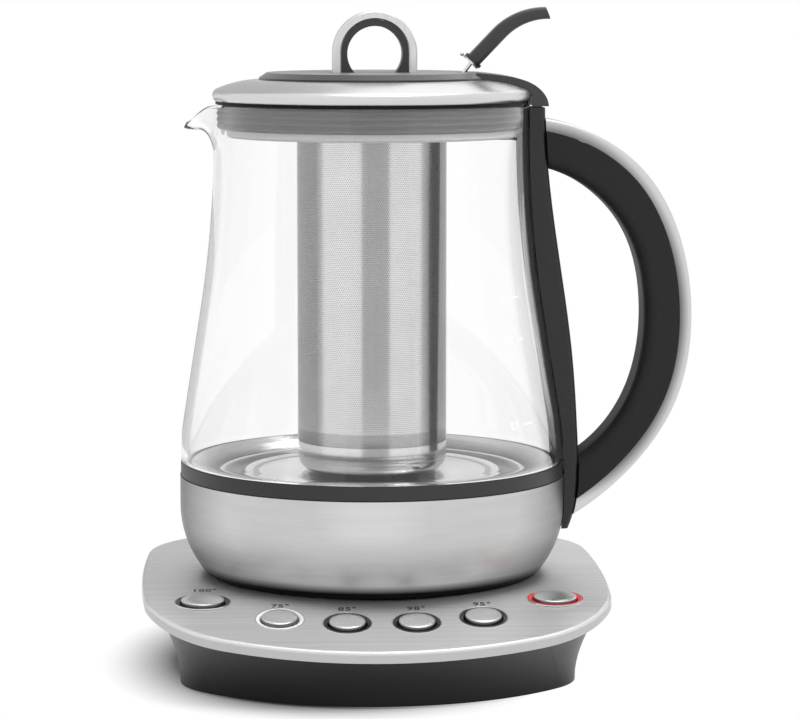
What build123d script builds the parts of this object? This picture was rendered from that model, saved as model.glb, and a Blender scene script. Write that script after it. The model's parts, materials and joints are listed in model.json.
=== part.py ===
from build123d import *
from math import asin, cos, degrees, radians, sin, sqrt, tan
import os

# An automatic tea maker: a glass jug with a steel bottom, a lid that carries the
# tea infuser, and a powered base with a sloping button panel.
# Millimetres, +Z up. Everything is drawn about the jug's axis, X = Y = 0, with the
# table a little under Z = 0. The handle points to +X, the spout to -X and the buttons
# to -Y. The parts are written out about the centre of the whole outline on the table.

# ---- general fits -------------------------------------------------------------
SLIP = 0.1            # pieces of one body that slide together in assembly
RUNNING = 0.05        # radial clearance of a pin in its bore
PARTING = 0.3         # gap between pieces that move apart
BEYOND = 20.0         # how far a cutting tool runs past what it cuts

# ---- base ---------------------------------------------------------------------
TABLE = -2.2          # the level of the table
BASE_HALF_WIDTH = 93.0
BASE_FRONT = 113.3    # from the jug's axis to the front edge
BASE_BACK = 93.0      # from the jug's axis to the back edge
FRONT_BOW = 158.0     # radius of the front edge
SIDE_BULGE = 5.0
BACK_BULGE = 5.0
FRONT_CORNER = 50.0
BACK_CORNER = 50.0
SEAT_HEIGHT = 32.6    # the level top of the base, on which the jug stands
BEND_Y = -55.5        # where the top plate starts to bend down to the front
BEND_RADIUS = 109.0
PANEL_SLOPE = 13.7    # degrees, in front of the bend
PLATE_WALL = 1.2
RIM_HEIGHT = 4.2      # of the top plate's folded edge
RIM_ROUND = 1.5
FOOTPRINT_HALF_WIDTH = 78.0
FOOTPRINT_FRONT = 103.0
FOOTPRINT_BACK = 82.0
FOOTPRINT_BOW = 95.0
FOOTPRINT_BULGE = 1.3
FOOTPRINT_CORNER = 30.0
CASE_TOP_HALF_WIDTH = 90.8
CASE_TOP_FRONT = 117.0
CASE_TOP_BACK = 91.0
CASE_TOP_CORNER = 48.0
CASE_FLARE_POWER = 1.8
CASE_WALL = 2.5
CASE_BOTTOM = TABLE + 1.0
DECK_WALL = 2.0       # the case's own top, under the steel plate
COVER_BOTTOM = TABLE + 1.2
COVER_WALL = 2.2
FOOT_RADIUS = 7.0
FOOT_RECESS = 1.0
FOOT_PLACES = ((-58, -64), (58, -64), (-60, 62), (60, 62))
CASE_SCREW_PLACES = ((-66, -38), (66, -38), (-68, 34), (68, 34))
CASE_SCREW_RADIUS = 1.5
CASE_SCREW_HEAD = 3.2
CASE_SCREW_LENGTH = 15.0
BOSS_SIDE = 8.0
INLET_HEIGHT = 12.0
INLET_BORE = 3.3      # bore radius of the sleeve that a mains cord leaves by
INLET_RADIUS = 4.8
INLET_FLANGE = 6.6
INLET_FLANGE_WALL = 1.6

# ---- electronics in the base --------------------------------------------------
BOARD_WALL = 1.6
CONTROL_BOARD_HEIGHT = 13.0
CONTROL_BOARD_INSET = 17.0
CONTROL_BOARD_BACK = -52.0
CONTROL_POSTS = ((-46, -66), (46, -66), (-20, -90), (20, -90))
POWER_BOARD_SIZE = (96.0, 44.0)
POWER_BOARD_Y = 50.0
POWER_BOARD_HEIGHT = 8.0
POWER_POSTS = ((-42, 34), (42, 34), (-42, 66), (42, 66))
POST_SIDE = 5.0
RELAY_SIZE = (19.0, 15.5, 15.0)
TRANSFORMER_SIZE = (34.0, 28.0, 17.0)
SWITCH_SIDE = 6.0
SWITCH_BODY = 3.6
PLUNGER_SIDE = 3.2
PLUNGER_HEIGHT = 1.4

# ---- buttons ------------------------------------------------------------------
SMALL_RING = 9.1      # outer radius of the light ring round a tea button
LARGE_RING = 10.5     # and round the two end buttons
RING_WIDTH = 1.7
RING_SINK = 0.5       # the ring's top under the panel
RING_FLANGE = 1.0
BUTTON_PROUD = 1.8
BUTTON_SKIRT = 3.0
BUTTON_TRAVEL = 0.5
STEM_RADIUS = 2.0
STEM_GAP = 0.85       # free travel between a button's stem and its switch
BUTTONS = {
    "boil": (-68.1, -64.5, LARGE_RING),
    "green": (-38.8, -83.7, SMALL_RING),
    "black": (-13.2, -87.7, SMALL_RING),
    "herbal": (13.2, -87.7, SMALL_RING),
    "oolong": (38.8, -83.7, SMALL_RING),
    "power": (68.1, -64.5, LARGE_RING),
}

# ---- the round connector between base and jug ----------------------------------
TOWER_RADIUS = 16.0
TOWER_HEIGHT = 10.4   # over the seat
TOWER_FLANGE = 19.0
SOCKET_RADIUS = 27.0
SOCKET_WALL = 3.5
SOCKET_FLANGE = 31.0
CONTACT_RINGS = (6.25, 11.75)   # mean radii of the two live rings
GROOVE_WIDTH = 2.5
RING_SKIRT = 1.7
GROOVE_DEPTH = 7.0
EARTH_PIN = 2.8
EARTH_HOLE = 3.6

# ---- jug ----------------------------------------------------------------------
SHELL_WALL = 0.8
SHELL_TOP = 72.4
SHELL_RADIUS = 77.5
SHELL_UPRIGHT = 12.0  # height of the steel bottom's straight side
SHELL_BELLY = 41.0    # radius of its side below that
SHELL_LIFT = 1.8      # the steel's lower edge over the jug's foot
BAND_HEIGHT = 6.0     # the seal between steel and glass
BAND_RADIUS = 77.2
BAND_WIDTH = 4.0
GLASS_WALL = 2.6
GLASS_FOOT_RADIUS = 77.2
GLASS_LEAN = 9.1      # degrees off upright, of the glass's straight stretch
GLASS_SHOULDER = 110.0  # radius of the curve below it
NECK_SWEEP = 450.0    # radius of the curve above it
NECK_RADIUS = 63.1
RIM_TOP = 220.9
SPOUT_REACH = 75.6    # from the jug's axis to the spout's tip
HEATER_WALL = 0.8
HEATER_LEVEL = 73.0
ELEMENT_RADIUS = 44.5
ELEMENT_TUBE = 3.6
ELEMENT_GAP = 14.0    # degrees from the handle's side to each end of the tube
SENSOR_PLACE = (22.5, -25.5)
SENSOR_RADIUS = 3.0

# ---- handle -------------------------------------------------------------------
GASKET_WALL = 1.0
SPINE_HALF_WIDTH = 12.0
SPINE_ROUND = 2.0
GRIP_HALF_WIDTH = 12.5
GRIP_ROUND = 5.0
STRAP_HALF_WIDTH = 11.5
STRAP_WALL = 4.8
STRAP_ROUND = 1.2
HANDLE_SCREW_HEIGHTS = (60.0, 68.0)
HANDLE_SCREW_RADIUS = 1.5
HANDLE_SCREW_HEAD = 3.0

# ---- lid ----------------------------------------------------------------------
LID_BASE_WALL = 2.2
LID_BASE_RADIUS = 62.4
DOME_WALL = 0.8
DOME_TOP = 230.9
DOME_CROWN = 45.6     # radius of the dome's slope
DOME_FALL = 23.2      # degrees, at the foot of that slope
DOME_ROLL = 2.8       # radius of the rolled edge
DOME_ROLL_ARC = 116.0
DOME_REACH = 64.0     # the dome's widest radius, about
CAP_TOP = 233.6
CAP_RADIUS = 45.0
CAP_SLOPE = 3.0       # width of the cap's sloping edge
CAP_EDGE = 0.6        # height left under that slope
TONGUE_HALF_WIDTH = 10.0
TONGUE_TIP = 70.1     # from the jug's axis to the tongue's outer face
SKIRT_BOTTOM = 208.2
SKIRT_WALL = 2.2
SKIRT_RADIUS = 58.0
SEAL_BOTTOM = 211.3
SEAL_RADIUS = 60.1
LID_SCREW_CIRCLE = 25.0
LID_SCREW_RADIUS = 1.5
LID_BOSS_RADIUS = 3.6
RING_OUTER = 16.8     # the ring handle on the lid
RING_PLACE = 1.1      # from the jug's axis, towards the handle
RING_TOP = 258.0
RING_STRAP = 3.3
RING_HOLE = 11.0
RING_HOLE_HEIGHT = 241.0
RING_HALF_WIDTH = 6.0
RING_SEAT_DEPTH = 1.6

# ---- lever on the lid ---------------------------------------------------------
LEVER_PIVOT = (36.0, 232.35)  # along X, and up
LEVER_PIN_RADIUS = 0.6
LEVER_PIN_LENGTH = 12.0
LEVER_EYE_RADIUS = 1.2
LEVER_EYE_WIDTH = 2.0
STEM_ANGLE = 53.0     # degrees over the level, at rest
STEM_LENGTH = 6.7     # from the pin to the grip's flange
STEM_ROD = 0.8
LEVER_ANGLE = 46.2    # of the grip's straight run
LEVER_RUN = 14.4
LEVER_BEND = 26.5
LEVER_TURN = 45.0     # degrees that the bend takes off the angle
LEVER_WALL = 5.9
LEVER_TIP_WALL = 4.8
LEVER_HALF_WIDTH = 4.0
LEVER_ROUND = 2.0
LEVER_FLANGE = 3.9
LEVER_FLANGE_WALL = 1.2
WASHER_RADIUS = 3.4
WASHER_WALL = 0.7
LEVER_RAISE = 45.0    # degrees that the lever swings up

# ---- infuser ------------------------------------------------------------------
INFUSER_RADIUS = 30.0
INFUSER_WALL = 0.5
INFUSER_BOTTOM = 74.4
CUP_HEIGHT = 11.7
CUP_ROUND = 4.0
COLLAR_BOTTOM = 207.0
COLLAR_TOP = 214.5
COLLAR_RADIUS = 31.0
LUG_REACH = 3.4
LUG_WALL = 1.8
LUG_ARC = 16.0        # degrees
INFUSER_TWIST = 30.0  # degrees from locked to free

# ---- levels that follow -------------------------------------------------------
JUG_BOTTOM = SEAT_HEIGHT + PARTING
SHELL_TURN = degrees(asin((SHELL_TOP - SHELL_UPRIGHT - JUG_BOTTOM) / SHELL_BELLY))
SHELL_FOOT_RADIUS = SHELL_RADIUS - SHELL_BELLY * (1 - cos(radians(SHELL_TURN)))
CAP_BOTTOM = DOME_TOP + SLIP
BAND_TOP = SHELL_TOP + BAND_HEIGHT
DECK_BOTTOM = SEAT_HEIGHT - PLATE_WALL - DECK_WALL
TOWER_TOP = SEAT_HEIGHT + TOWER_HEIGHT
LID_BASE_BOTTOM = RIM_TOP + PARTING
SWITCH_TOP = CONTROL_BOARD_HEIGHT + BOARD_WALL + SWITCH_BODY + PLUNGER_HEIGHT
COVER_TOP = COVER_BOTTOM + COVER_WALL


# ---- helpers ------------------------------------------------------------------
def beside(curve, share, distance):
    """The point at a share of the curve, moved to the curve's left."""
    return curve @ share + (curve % share).rotate(Axis.Z, 90) * distance


def parallel(curves, distance, steps=12):
    """A copy of a run of joined curves that lies beside it, to its left."""
    copies = []
    for curve in curves:
        if curve.geom_type == GeomType.LINE:
            copies.append(Line(beside(curve, 0, distance), beside(curve, 1, distance)))
        elif curve.geom_type == GeomType.CIRCLE:
            copies.append(ThreePointArc(*[beside(curve, share, distance) for share in (0, 0.5, 1)]))
        else:
            copies.append(Spline(*[beside(curve, i / steps, distance) for i in range(steps + 1)]))
    return copies


def band(curves, thickness):
    """The closed strip between a run of curves and its parallel to its left."""
    others = parallel(curves, thickness)
    start, end = curves[0] @ 0, curves[-1] @ 1
    return make_face([*curves, Line(end, others[-1] @ 1), *others, Line(others[0] @ 0, start)])


def turned(face):
    """A solid of revolution about the jug's axis, from a face of (radius, height)."""
    return revolve(Plane.XZ * face, Axis.Z)


def ring(inner, outer, bottom, top):
    """A plain turned ring, or a disc when the inner radius is 0."""
    return turned(Pos((inner + outer) / 2, (bottom + top) / 2) * Rectangle(outer - inner, top - bottom))


def polygon(*points):
    """The face inside straight lines through the points."""
    return make_face(Polyline(*points, close=True))


def within(curves):
    """The face between the jug's axis and a run of curves of (radius, height)."""
    start, end = curves[0] @ 0, curves[-1] @ 1
    return make_face([*curves, Polyline(end, (0, end.Y), (0, start.Y), start)])


def rod(start, end, radius):
    """A round bar between two points."""
    direction = Vector(*end) - Vector(*start)
    return extrude(Plane(origin=start, z_dir=direction) * Circle(radius), direction.length)


def side_slab(face, half_width):
    """A face drawn in the plane of the handle, as a slab of even width about it."""
    return extrude(Plane.XZ * face, half_width, both=True)


# ---- base ---------------------------------------------------------------------
def outline(half_width, front, back, bow, bulge, front_corner, back_corner):
    """A base outline: bowed front, slightly bulging sides and back, round corners."""
    side = half_width - bulge
    front_y = bow - front - sqrt(bow**2 - side**2)
    back_y = back - BACK_BULGE
    middle_y = (front_y + back_y) / 2
    face = make_face(
        [
            ThreePointArc((-side, front_y), (0, -front), (side, front_y)),
            ThreePointArc((side, front_y), (half_width, middle_y), (side, back_y)),
            ThreePointArc((side, back_y), (0, back), (-side, back_y)),
            ThreePointArc((-side, back_y), (-half_width, middle_y), (-side, front_y)),
        ]
    )
    face = fillet(face.vertices().sort_by(Axis.Y)[:2], front_corner)
    return fillet(face.vertices().sort_by(Axis.Y)[-2:], back_corner)


def plate_outline(inset=0.0):
    """The top plate's outline, or one that lies inside it."""
    return outline(
        BASE_HALF_WIDTH - inset,
        BASE_FRONT - inset,
        BASE_BACK - inset,
        FRONT_BOW - inset,
        SIDE_BULGE,
        FRONT_CORNER - inset,
        BACK_CORNER - inset,
    )


def flare(height):
    """How far the case has widened at a height, from 0 at its foot to 1 at the seat."""
    return max(height / SEAT_HEIGHT, 0) ** CASE_FLARE_POWER


def case_outline(height, inset=0.0):
    """The flared case's outline at a height."""
    share = flare(height)

    def blend(low, high):
        return low + (high - low) * share - inset

    return Pos(0, 0, height) * outline(
        blend(FOOTPRINT_HALF_WIDTH, CASE_TOP_HALF_WIDTH),
        blend(FOOTPRINT_FRONT, CASE_TOP_FRONT),
        blend(FOOTPRINT_BACK, CASE_TOP_BACK),
        blend(FOOTPRINT_BOW, FRONT_BOW),
        blend(FOOTPRINT_BULGE, SIDE_BULGE) + inset,
        blend(FOOTPRINT_CORNER, CASE_TOP_CORNER),
        blend(FOOTPRINT_CORNER, CASE_TOP_CORNER),
    )


def below_panel(drop=0.0):
    """All that lies under the top plate's surface, moved down by the drop."""
    level = SEAT_HEIGHT - drop
    flat = Line((BASE_BACK + BEYOND, level), (BEND_Y, level))
    bend = JernArc(flat @ 1, (-1, 0), BEND_RADIUS, PANEL_SLOPE)
    ramp = Line(bend @ 1, bend @ 1 + (bend % 1) * BASE_FRONT)
    floor = Polyline(ramp @ 1, ((ramp @ 1).X, -BEYOND), (BASE_BACK + BEYOND, -BEYOND), flat @ 0)
    face = make_face([flat, bend, ramp, floor])
    return extrude(Plane.YZ * face, BASE_HALF_WIDTH + BEYOND, both=True)


def panel_slope(y):
    """The panel's slope, in radians, at a place along Y."""
    return asin(min(max((BEND_Y - y) / BEND_RADIUS, 0), sin(radians(PANEL_SLOPE))))


def panel_height(y):
    """The panel's height at a place along Y."""
    slope = panel_slope(y)
    bend_end = BEND_Y - BEND_RADIUS * sin(slope)
    return SEAT_HEIGHT - BEND_RADIUS * (1 - cos(slope)) - (bend_end - y) * tan(slope)


def button_plane(x, y):
    """The plane that lies on the panel under a button, with its normal out of the panel."""
    slope = panel_slope(y)
    return Plane(origin=(x, y, panel_height(y)), x_dir=(1, 0, 0), z_dir=(0, -sin(slope), cos(slope)))


def button_holes(extra):
    """A cutter for every button's ring, larger than the ring by the extra radius."""
    return [
        button_plane(x, y) * Cylinder(radius + extra, 4 * RIM_HEIGHT) for x, y, radius in BUTTONS.values()
    ]


def make_base_plate():
    """The steel top: level round the jug, bent down to the front, with a folded rim."""
    block = extrude(plate_outline(), SEAT_HEIGHT + BEYOND) & below_panel()
    inner = extrude(plate_outline(RIM_ROUND), SEAT_HEIGHT + BEYOND)
    rim = [
        e
        for e in block.edges()
        if abs((e @ 0.5).Z - panel_height((e @ 0.5).Y)) < SLIP and not inner.is_inside(e @ 0.5)
    ]
    block = fillet(rim, RIM_ROUND) - below_panel(RIM_HEIGHT)
    hollow = extrude(plate_outline(PLATE_WALL), SEAT_HEIGHT + BEYOND) & below_panel(PLATE_WALL)
    tower_hole = Cylinder(TOWER_RADIUS + 2 * PARTING, 4 * BEYOND)
    return block - hollow - tower_hole - button_holes(SLIP)


def make_base_case():
    """The dark moulded case: flared walls, a deck under the plate, and screw bosses."""
    levels = [CASE_BOTTOM + (SEAT_HEIGHT - CASE_BOTTOM) * i / 5 for i in range(6)]
    outer = loft([case_outline(level) for level in levels])
    inner = loft([case_outline(level, CASE_WALL) for level in levels])
    room = extrude(plate_outline(PLATE_WALL + SLIP), SEAT_HEIGHT + BEYOND, both=True)
    case = (outer & room & below_panel(PLATE_WALL + SLIP)) - (inner & below_panel(PLATE_WALL + DECK_WALL))
    case += [Pos(x, y, 0) * boss(COVER_TOP) for x, y in CASE_SCREW_PLACES]
    case -= [Pos(x, y, 0) * boss_bore(COVER_TOP) for x, y in CASE_SCREW_PLACES]
    inlet = Pos(0, FOOTPRINT_BACK, INLET_HEIGHT) * Rot(90, 0, 0) * Cylinder(INLET_RADIUS + SLIP, BEYOND)
    tower_hole = Cylinder(TOWER_RADIUS + SLIP, 4 * BEYOND)
    return case - inlet - tower_hole - button_holes(SLIP)


def boss(bottom):
    """A square screw boss that hangs from the deck."""
    return Pos(0, 0, bottom) * extrude(Rectangle(BOSS_SIDE, BOSS_SIDE), DECK_BOTTOM - bottom + DECK_WALL / 2)


def boss_bore(bottom):
    """The blind hole in a screw boss."""
    return Pos(0, 0, bottom - SLIP) * extrude(Circle(CASE_SCREW_RADIUS + RUNNING), CASE_SCREW_LENGTH)


def make_bottom_cover():
    """The plate that closes the case, with posts for the boards and seats for the feet."""
    cover = extrude(case_outline(COVER_BOTTOM, CASE_WALL + 2 * PARTING), COVER_WALL)
    cover += [post(x, y, CONTROL_BOARD_HEIGHT) for x, y in CONTROL_POSTS]
    cover += [post(x, y, POWER_BOARD_HEIGHT) for x, y in POWER_POSTS]
    feet = [
        Pos(x, y, COVER_BOTTOM) * Cylinder(FOOT_RADIUS + SLIP, 2 * FOOT_RECESS) for x, y in FOOT_PLACES
    ]
    vents = [Pos(x, 9 * i, COVER_TOP) * Box(40, 2.4, 2 * BEYOND) for x in (-25, 25) for i in (-2, -1, 0, 1)]
    screws = [Pos(x, y, 0) * screw_seat() for x, y in CASE_SCREW_PLACES]
    return cover - feet - vents - screws


def post(x, y, top):
    """A square post on the cover that a board stands on."""
    return Pos(x, y, COVER_TOP - SLIP) * extrude(Rectangle(POST_SIDE, POST_SIDE), top - COVER_TOP + SLIP)


def screw_seat():
    """The counterbored hole for a case screw."""
    head = Pos(0, 0, COVER_BOTTOM) * Cylinder(CASE_SCREW_HEAD + SLIP, COVER_WALL)
    return head + Pos(0, 0, COVER_BOTTOM) * Cylinder(CASE_SCREW_RADIUS + 2 * SLIP, BEYOND)


def make_base_screws():
    """The screws that hold the bottom cover up against the bosses."""
    head_top = COVER_BOTTOM + COVER_WALL / 2
    head_bottom = COVER_BOTTOM + SLIP
    shank_top = COVER_TOP + CASE_SCREW_LENGTH - 1
    profile = polygon(
        (0, head_bottom),
        (CASE_SCREW_HEAD, head_bottom),
        (CASE_SCREW_HEAD, head_top),
        (CASE_SCREW_RADIUS, head_top),
        (CASE_SCREW_RADIUS, shank_top),
        (0, shank_top),
    )
    screw = turned(profile)
    return [Pos(x, y, 0) * screw for x, y in CASE_SCREW_PLACES]


def make_base_feet():
    """The rubber feet, each seated in a recess of the bottom cover."""
    foot = extrude(Circle(FOOT_RADIUS), COVER_BOTTOM + FOOT_RECESS - TABLE)
    foot = chamfer(foot.edges().sort_by(Axis.Z)[:1], 0.5)
    return [Pos(x, y, TABLE) * foot for x, y in FOOT_PLACES]


def back_wall(height):
    """Where the case's outer back wall lies at a height."""
    return FOOTPRINT_BACK + (CASE_TOP_BACK - FOOTPRINT_BACK) * flare(height)


def make_cord_inlet():
    """The grommet in the back wall that the mains cord would pass through."""
    inside = back_wall(INLET_HEIGHT - INLET_FLANGE) - CASE_WALL - 2 * PARTING
    outside = back_wall(INLET_HEIGHT + INLET_FLANGE) + PARTING
    end = outside + INLET_FLANGE_WALL

    def sleeve(start, stop, radius):
        return rod((0, start, INLET_HEIGHT), (0, stop, INLET_HEIGHT), radius)

    body = sleeve(inside - INLET_FLANGE_WALL, end, INLET_RADIUS)
    body += sleeve(outside, end, INLET_FLANGE)
    body += sleeve(inside - INLET_FLANGE_WALL, inside, INLET_RADIUS + 1)
    return body - sleeve(end - BEYOND, end + 1, INLET_BORE)


# ---- electronics --------------------------------------------------------------
def switch_place(x, y):
    """Where a button's stem points to, on the level of the switch plungers."""
    drop = panel_height(y) - SWITCH_TOP
    return x, y + drop * tan(panel_slope(y))


def make_control_board():
    """The crescent board under the panel."""
    window = Pos(0, CONTROL_BOARD_BACK - BASE_FRONT / 2) * Rectangle(2 * BASE_HALF_WIDTH, BASE_FRONT)
    board = extrude(plate_outline(CONTROL_BOARD_INSET) & window, BOARD_WALL)
    return Pos(0, 0, CONTROL_BOARD_HEIGHT) * board


def make_switches():
    """One push switch under each button."""
    body = extrude(Rectangle(SWITCH_SIDE, SWITCH_SIDE), SWITCH_BODY)
    body += extrude(Rectangle(PLUNGER_SIDE, PLUNGER_SIDE), SWITCH_BODY + PLUNGER_HEIGHT)
    level = CONTROL_BOARD_HEIGHT + BOARD_WALL
    return [Pos(*switch_place(x, y), level) * body for x, y, _ in BUTTONS.values()]


def make_power_board():
    """The mains board behind the connector."""
    board = extrude(RectangleRounded(*POWER_BOARD_SIZE, 3), BOARD_WALL)
    return Pos(0, POWER_BOARD_Y, POWER_BOARD_HEIGHT) * board


def on_power_board(x, size):
    """A block on the power board, with its top edges broken."""
    block = extrude(Rectangle(size[0], size[1]), size[2])
    block = chamfer(block.edges().group_by(Axis.Z)[-1], 0.8)
    return Pos(x, POWER_BOARD_Y, POWER_BOARD_HEIGHT + BOARD_WALL) * block


# ---- buttons ------------------------------------------------------------------
def make_light_ring(x, y, radius):
    """The ring of light guide round a button, with a flange under the deck."""
    under_deck = -(PLATE_WALL + DECK_WALL) - 0.6
    bottom = under_deck - RING_FLANGE
    inner = radius - RING_WIDTH
    profile = polygon(
        (inner, bottom),
        (radius + RING_FLANGE, bottom),
        (radius + RING_FLANGE, under_deck),
        (radius, under_deck),
        (radius, -RING_SINK),
        (inner, -RING_SINK - 0.4),
    )
    return button_plane(x, y) * turned(profile)


def make_button(x, y, radius):
    """A steel cap, slightly domed, on a stem that reaches for its switch."""
    cap = radius - RING_WIDTH - PARTING
    edge = BUTTON_PROUD - 0.5
    stem_end = -(panel_height(y) - SWITCH_TOP - STEM_GAP) / cos(panel_slope(y))
    side = Polyline((0, stem_end), (STEM_RADIUS, stem_end), (STEM_RADIUS, -BUTTON_SKIRT + 1), (cap - 1, -BUTTON_SKIRT + 1))
    skirt = Polyline(side @ 1, (cap - 1, -BUTTON_SKIRT), (cap, -BUTTON_SKIRT), (cap, edge - 0.4), (cap - 0.4, edge))
    dome = TangentArc((0, BUTTON_PROUD), (cap - 0.4, edge), tangent=(1, 0))
    profile = make_face([side, skirt, dome, Line((0, BUTTON_PROUD), (0, stem_end))])
    return button_plane(x, y) * turned(profile)


# ---- connector ----------------------------------------------------------------
def make_base_connector():
    """The round plug of the base: a tower with a groove for each live ring."""
    tower = ring(EARTH_HOLE, TOWER_RADIUS, DECK_BOTTOM - 2, TOWER_TOP)
    tower += ring(EARTH_HOLE, TOWER_FLANGE, DECK_BOTTOM - 2, DECK_BOTTOM)
    for radius in CONTACT_RINGS:
        half = GROOVE_WIDTH / 2
        tower -= ring(radius - half, radius + half, TOWER_TOP - GROOVE_DEPTH, TOWER_TOP + 1)
    return chamfer(tower.edges().group_by(Axis.Z)[-1].sort_by(SortBy.RADIUS)[-1:], 0.8)


def make_base_contacts():
    """The two contact rings at the bottom of the grooves."""
    bottom = TOWER_TOP - GROOVE_DEPTH
    return [ring(radius - 0.5, radius + 0.5, bottom, bottom + 2) for radius in CONTACT_RINGS]


def make_jug_connector():
    """The socket under the jug, which turns freely on the tower."""
    bottom = JUG_BOTTOM + PARTING
    ceiling = TOWER_TOP + 2 * PARTING
    top = ceiling + 3
    socket = ring(0, SOCKET_RADIUS, bottom, top)
    socket -= ring(0, SOCKET_RADIUS - SOCKET_WALL, bottom - 1, ceiling)
    for radius in CONTACT_RINGS:
        half = RING_SKIRT / 2
        socket += ring(radius - half, radius + half, ceiling - GROOVE_DEPTH + 3.5, ceiling + 1)
    socket += ring(0, EARTH_PIN, bottom, ceiling + 1)
    flange_bottom = JUG_BOTTOM + 2.5 + PARTING
    return socket + ring(SOCKET_RADIUS - 1, SOCKET_FLANGE, flange_bottom, flange_bottom + 1.8)


# ---- jug ----------------------------------------------------------------------
def glass_side():
    """The glass's outer side from its foot to the rim: a shoulder, a cone and the neck's sweep."""
    shoulder = JernArc((GLASS_FOOT_RADIUS, BAND_TOP), (0, 1), GLASS_SHOULDER, GLASS_LEAN)
    sweep_start = NECK_RADIUS + NECK_SWEEP * (1 - cos(radians(GLASS_LEAN)))
    length = ((shoulder @ 1).X - sweep_start) / sin(radians(GLASS_LEAN))
    cone = Line(shoulder @ 1, shoulder @ 1 + (shoulder % 1) * length)
    sweep = JernArc(cone @ 1, cone % 1, NECK_SWEEP, -GLASS_LEAN)
    return [shoulder, cone, sweep, Line(sweep @ 1, (NECK_RADIUS, RIM_TOP))]


def jug_side(lift=0.0):
    """The outer side of the jug's bottom, from a lift over its foot up: a belly and an upright."""
    turn = degrees(asin((SHELL_TOP - SHELL_UPRIGHT - JUG_BOTTOM - lift) / SHELL_BELLY))
    foot = SHELL_RADIUS - SHELL_BELLY * (1 - cos(radians(turn))), JUG_BOTTOM + lift
    belly = JernArc(foot, (sin(radians(turn)), cos(radians(turn))), SHELL_BELLY, turn)
    return [belly, Line(belly @ 1, (SHELL_RADIUS, SHELL_TOP))]


def spout_section(x, half_width, low, inset=0.0):
    """An upright section across the spout: a round bottom with straight sides."""
    width = half_width - inset
    bottom = low + inset
    shoulder = bottom + 0.8 * width
    top = RIM_TOP + 6
    section = make_face(
        [
            ThreePointArc((-width, shoulder), (0, bottom), (width, shoulder)),
            Polyline((width, shoulder), (width, top), (-width, top), (-width, shoulder)),
        ]
    )
    return Plane(origin=(x, 0, 0), x_dir=(0, -1, 0), z_dir=(-1, 0, 0)) * section


def make_spout():
    """The drawn spout: a channel that rises out of the neck to a narrow tip."""
    root = -NECK_RADIUS
    tip = -SPOUT_REACH
    outer = loft(
        [
            spout_section(root + 6, 17.5, 194.0),
            spout_section(root, 15.5, 199.0),
            spout_section(root - 2.5, 13.5, 206.2),
            spout_section(root - 6, 10.4, 209.9),
            spout_section(tip + 3, 6.6, 211.1),
            spout_section(tip, 4.2, 211.0),
        ]
    )
    inner = loft(
        [
            spout_section(root + 12, 17.5, 196.0, GLASS_WALL),
            spout_section(root, 15.5, 200.5, GLASS_WALL),
            spout_section(root - 2.5, 13.5, 206.8, GLASS_WALL),
            spout_section(root - 6, 10.4, 209.9, GLASS_WALL - 0.4),
            spout_section(tip + 3, 6.6, 211.1, GLASS_WALL - 0.8),
            spout_section(tip - 2, 3.4, 211.6, GLASS_WALL - 1.2),
        ]
    )
    return outer, inner


def above_lip():
    """All that lies over the rim and over the spout's falling lip."""
    root = -NECK_RADIUS
    tip = -SPOUT_REACH
    lip = Spline((root + 2, RIM_TOP), (root - 3, RIM_TOP - 0.9), (root - 6.6, RIM_TOP - 2.5), (tip, RIM_TOP - 8.6))
    low, high = RIM_TOP - 12, RIM_TOP + BEYOND
    rest = Polyline(lip @ 1, (tip - 4, low), (tip - 4, high), (root + BEYOND, high), (root + BEYOND, RIM_TOP), lip @ 0)
    return side_slab(make_face([lip, rest]), BEYOND)


def make_glass_jug():
    """The glass body: a turned wall with a drawn spout, cut to a falling lip."""
    outer, inner = make_spout()
    neck_core = ring(0, NECK_RADIUS - GLASS_WALL / 2, RIM_TOP - 2 * BEYOND, RIM_TOP + BEYOND)
    spout = outer - inner - neck_core
    return turned(band(glass_side(), GLASS_WALL)) - inner + spout - above_lip()


def make_jug_shell():
    """The steel bottom of the jug, with holes for the handle's screws."""
    shell = turned(band(jug_side(SHELL_LIFT), SHELL_WALL))
    holes = [
        rod((SHELL_RADIUS - BEYOND, 0, z), (SHELL_RADIUS + BEYOND, 0, z), HANDLE_SCREW_RADIUS + 2 * SLIP)
        for z in HANDLE_SCREW_HEIGHTS
    ]
    return shell - holes


def make_jug_bottom_cover():
    """The dark foot and cover under the jug, with the hole that the socket turns in."""
    hole = SOCKET_RADIUS + PARTING
    foot = SHELL_FOOT_RADIUS - PARTING
    top = jug_side(SHELL_LIFT)[0] @ 0
    profile = polygon(
        (hole, JUG_BOTTOM),
        (foot - 0.4, JUG_BOTTOM),
        (foot, JUG_BOTTOM + 0.3),
        (top.X - PARTING, top.Y - SLIP),
        (foot, top.Y - SLIP),
        (foot, JUG_BOTTOM + 4.2),
        (foot - 2, JUG_BOTTOM + 4.2),
        (foot - 2, JUG_BOTTOM + 2.5),
        (hole, JUG_BOTTOM + 2.5),
    )
    return turned(profile)


def make_seal_band():
    """The dark ring between the steel bottom and the glass."""
    band_ring = ring(BAND_RADIUS - BAND_WIDTH, BAND_RADIUS, SHELL_TOP, BAND_TOP)
    return chamfer(band_ring.edges().filter_by(GeomType.CIRCLE).sort_by(SortBy.RADIUS)[-2:], 0.35)


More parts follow.
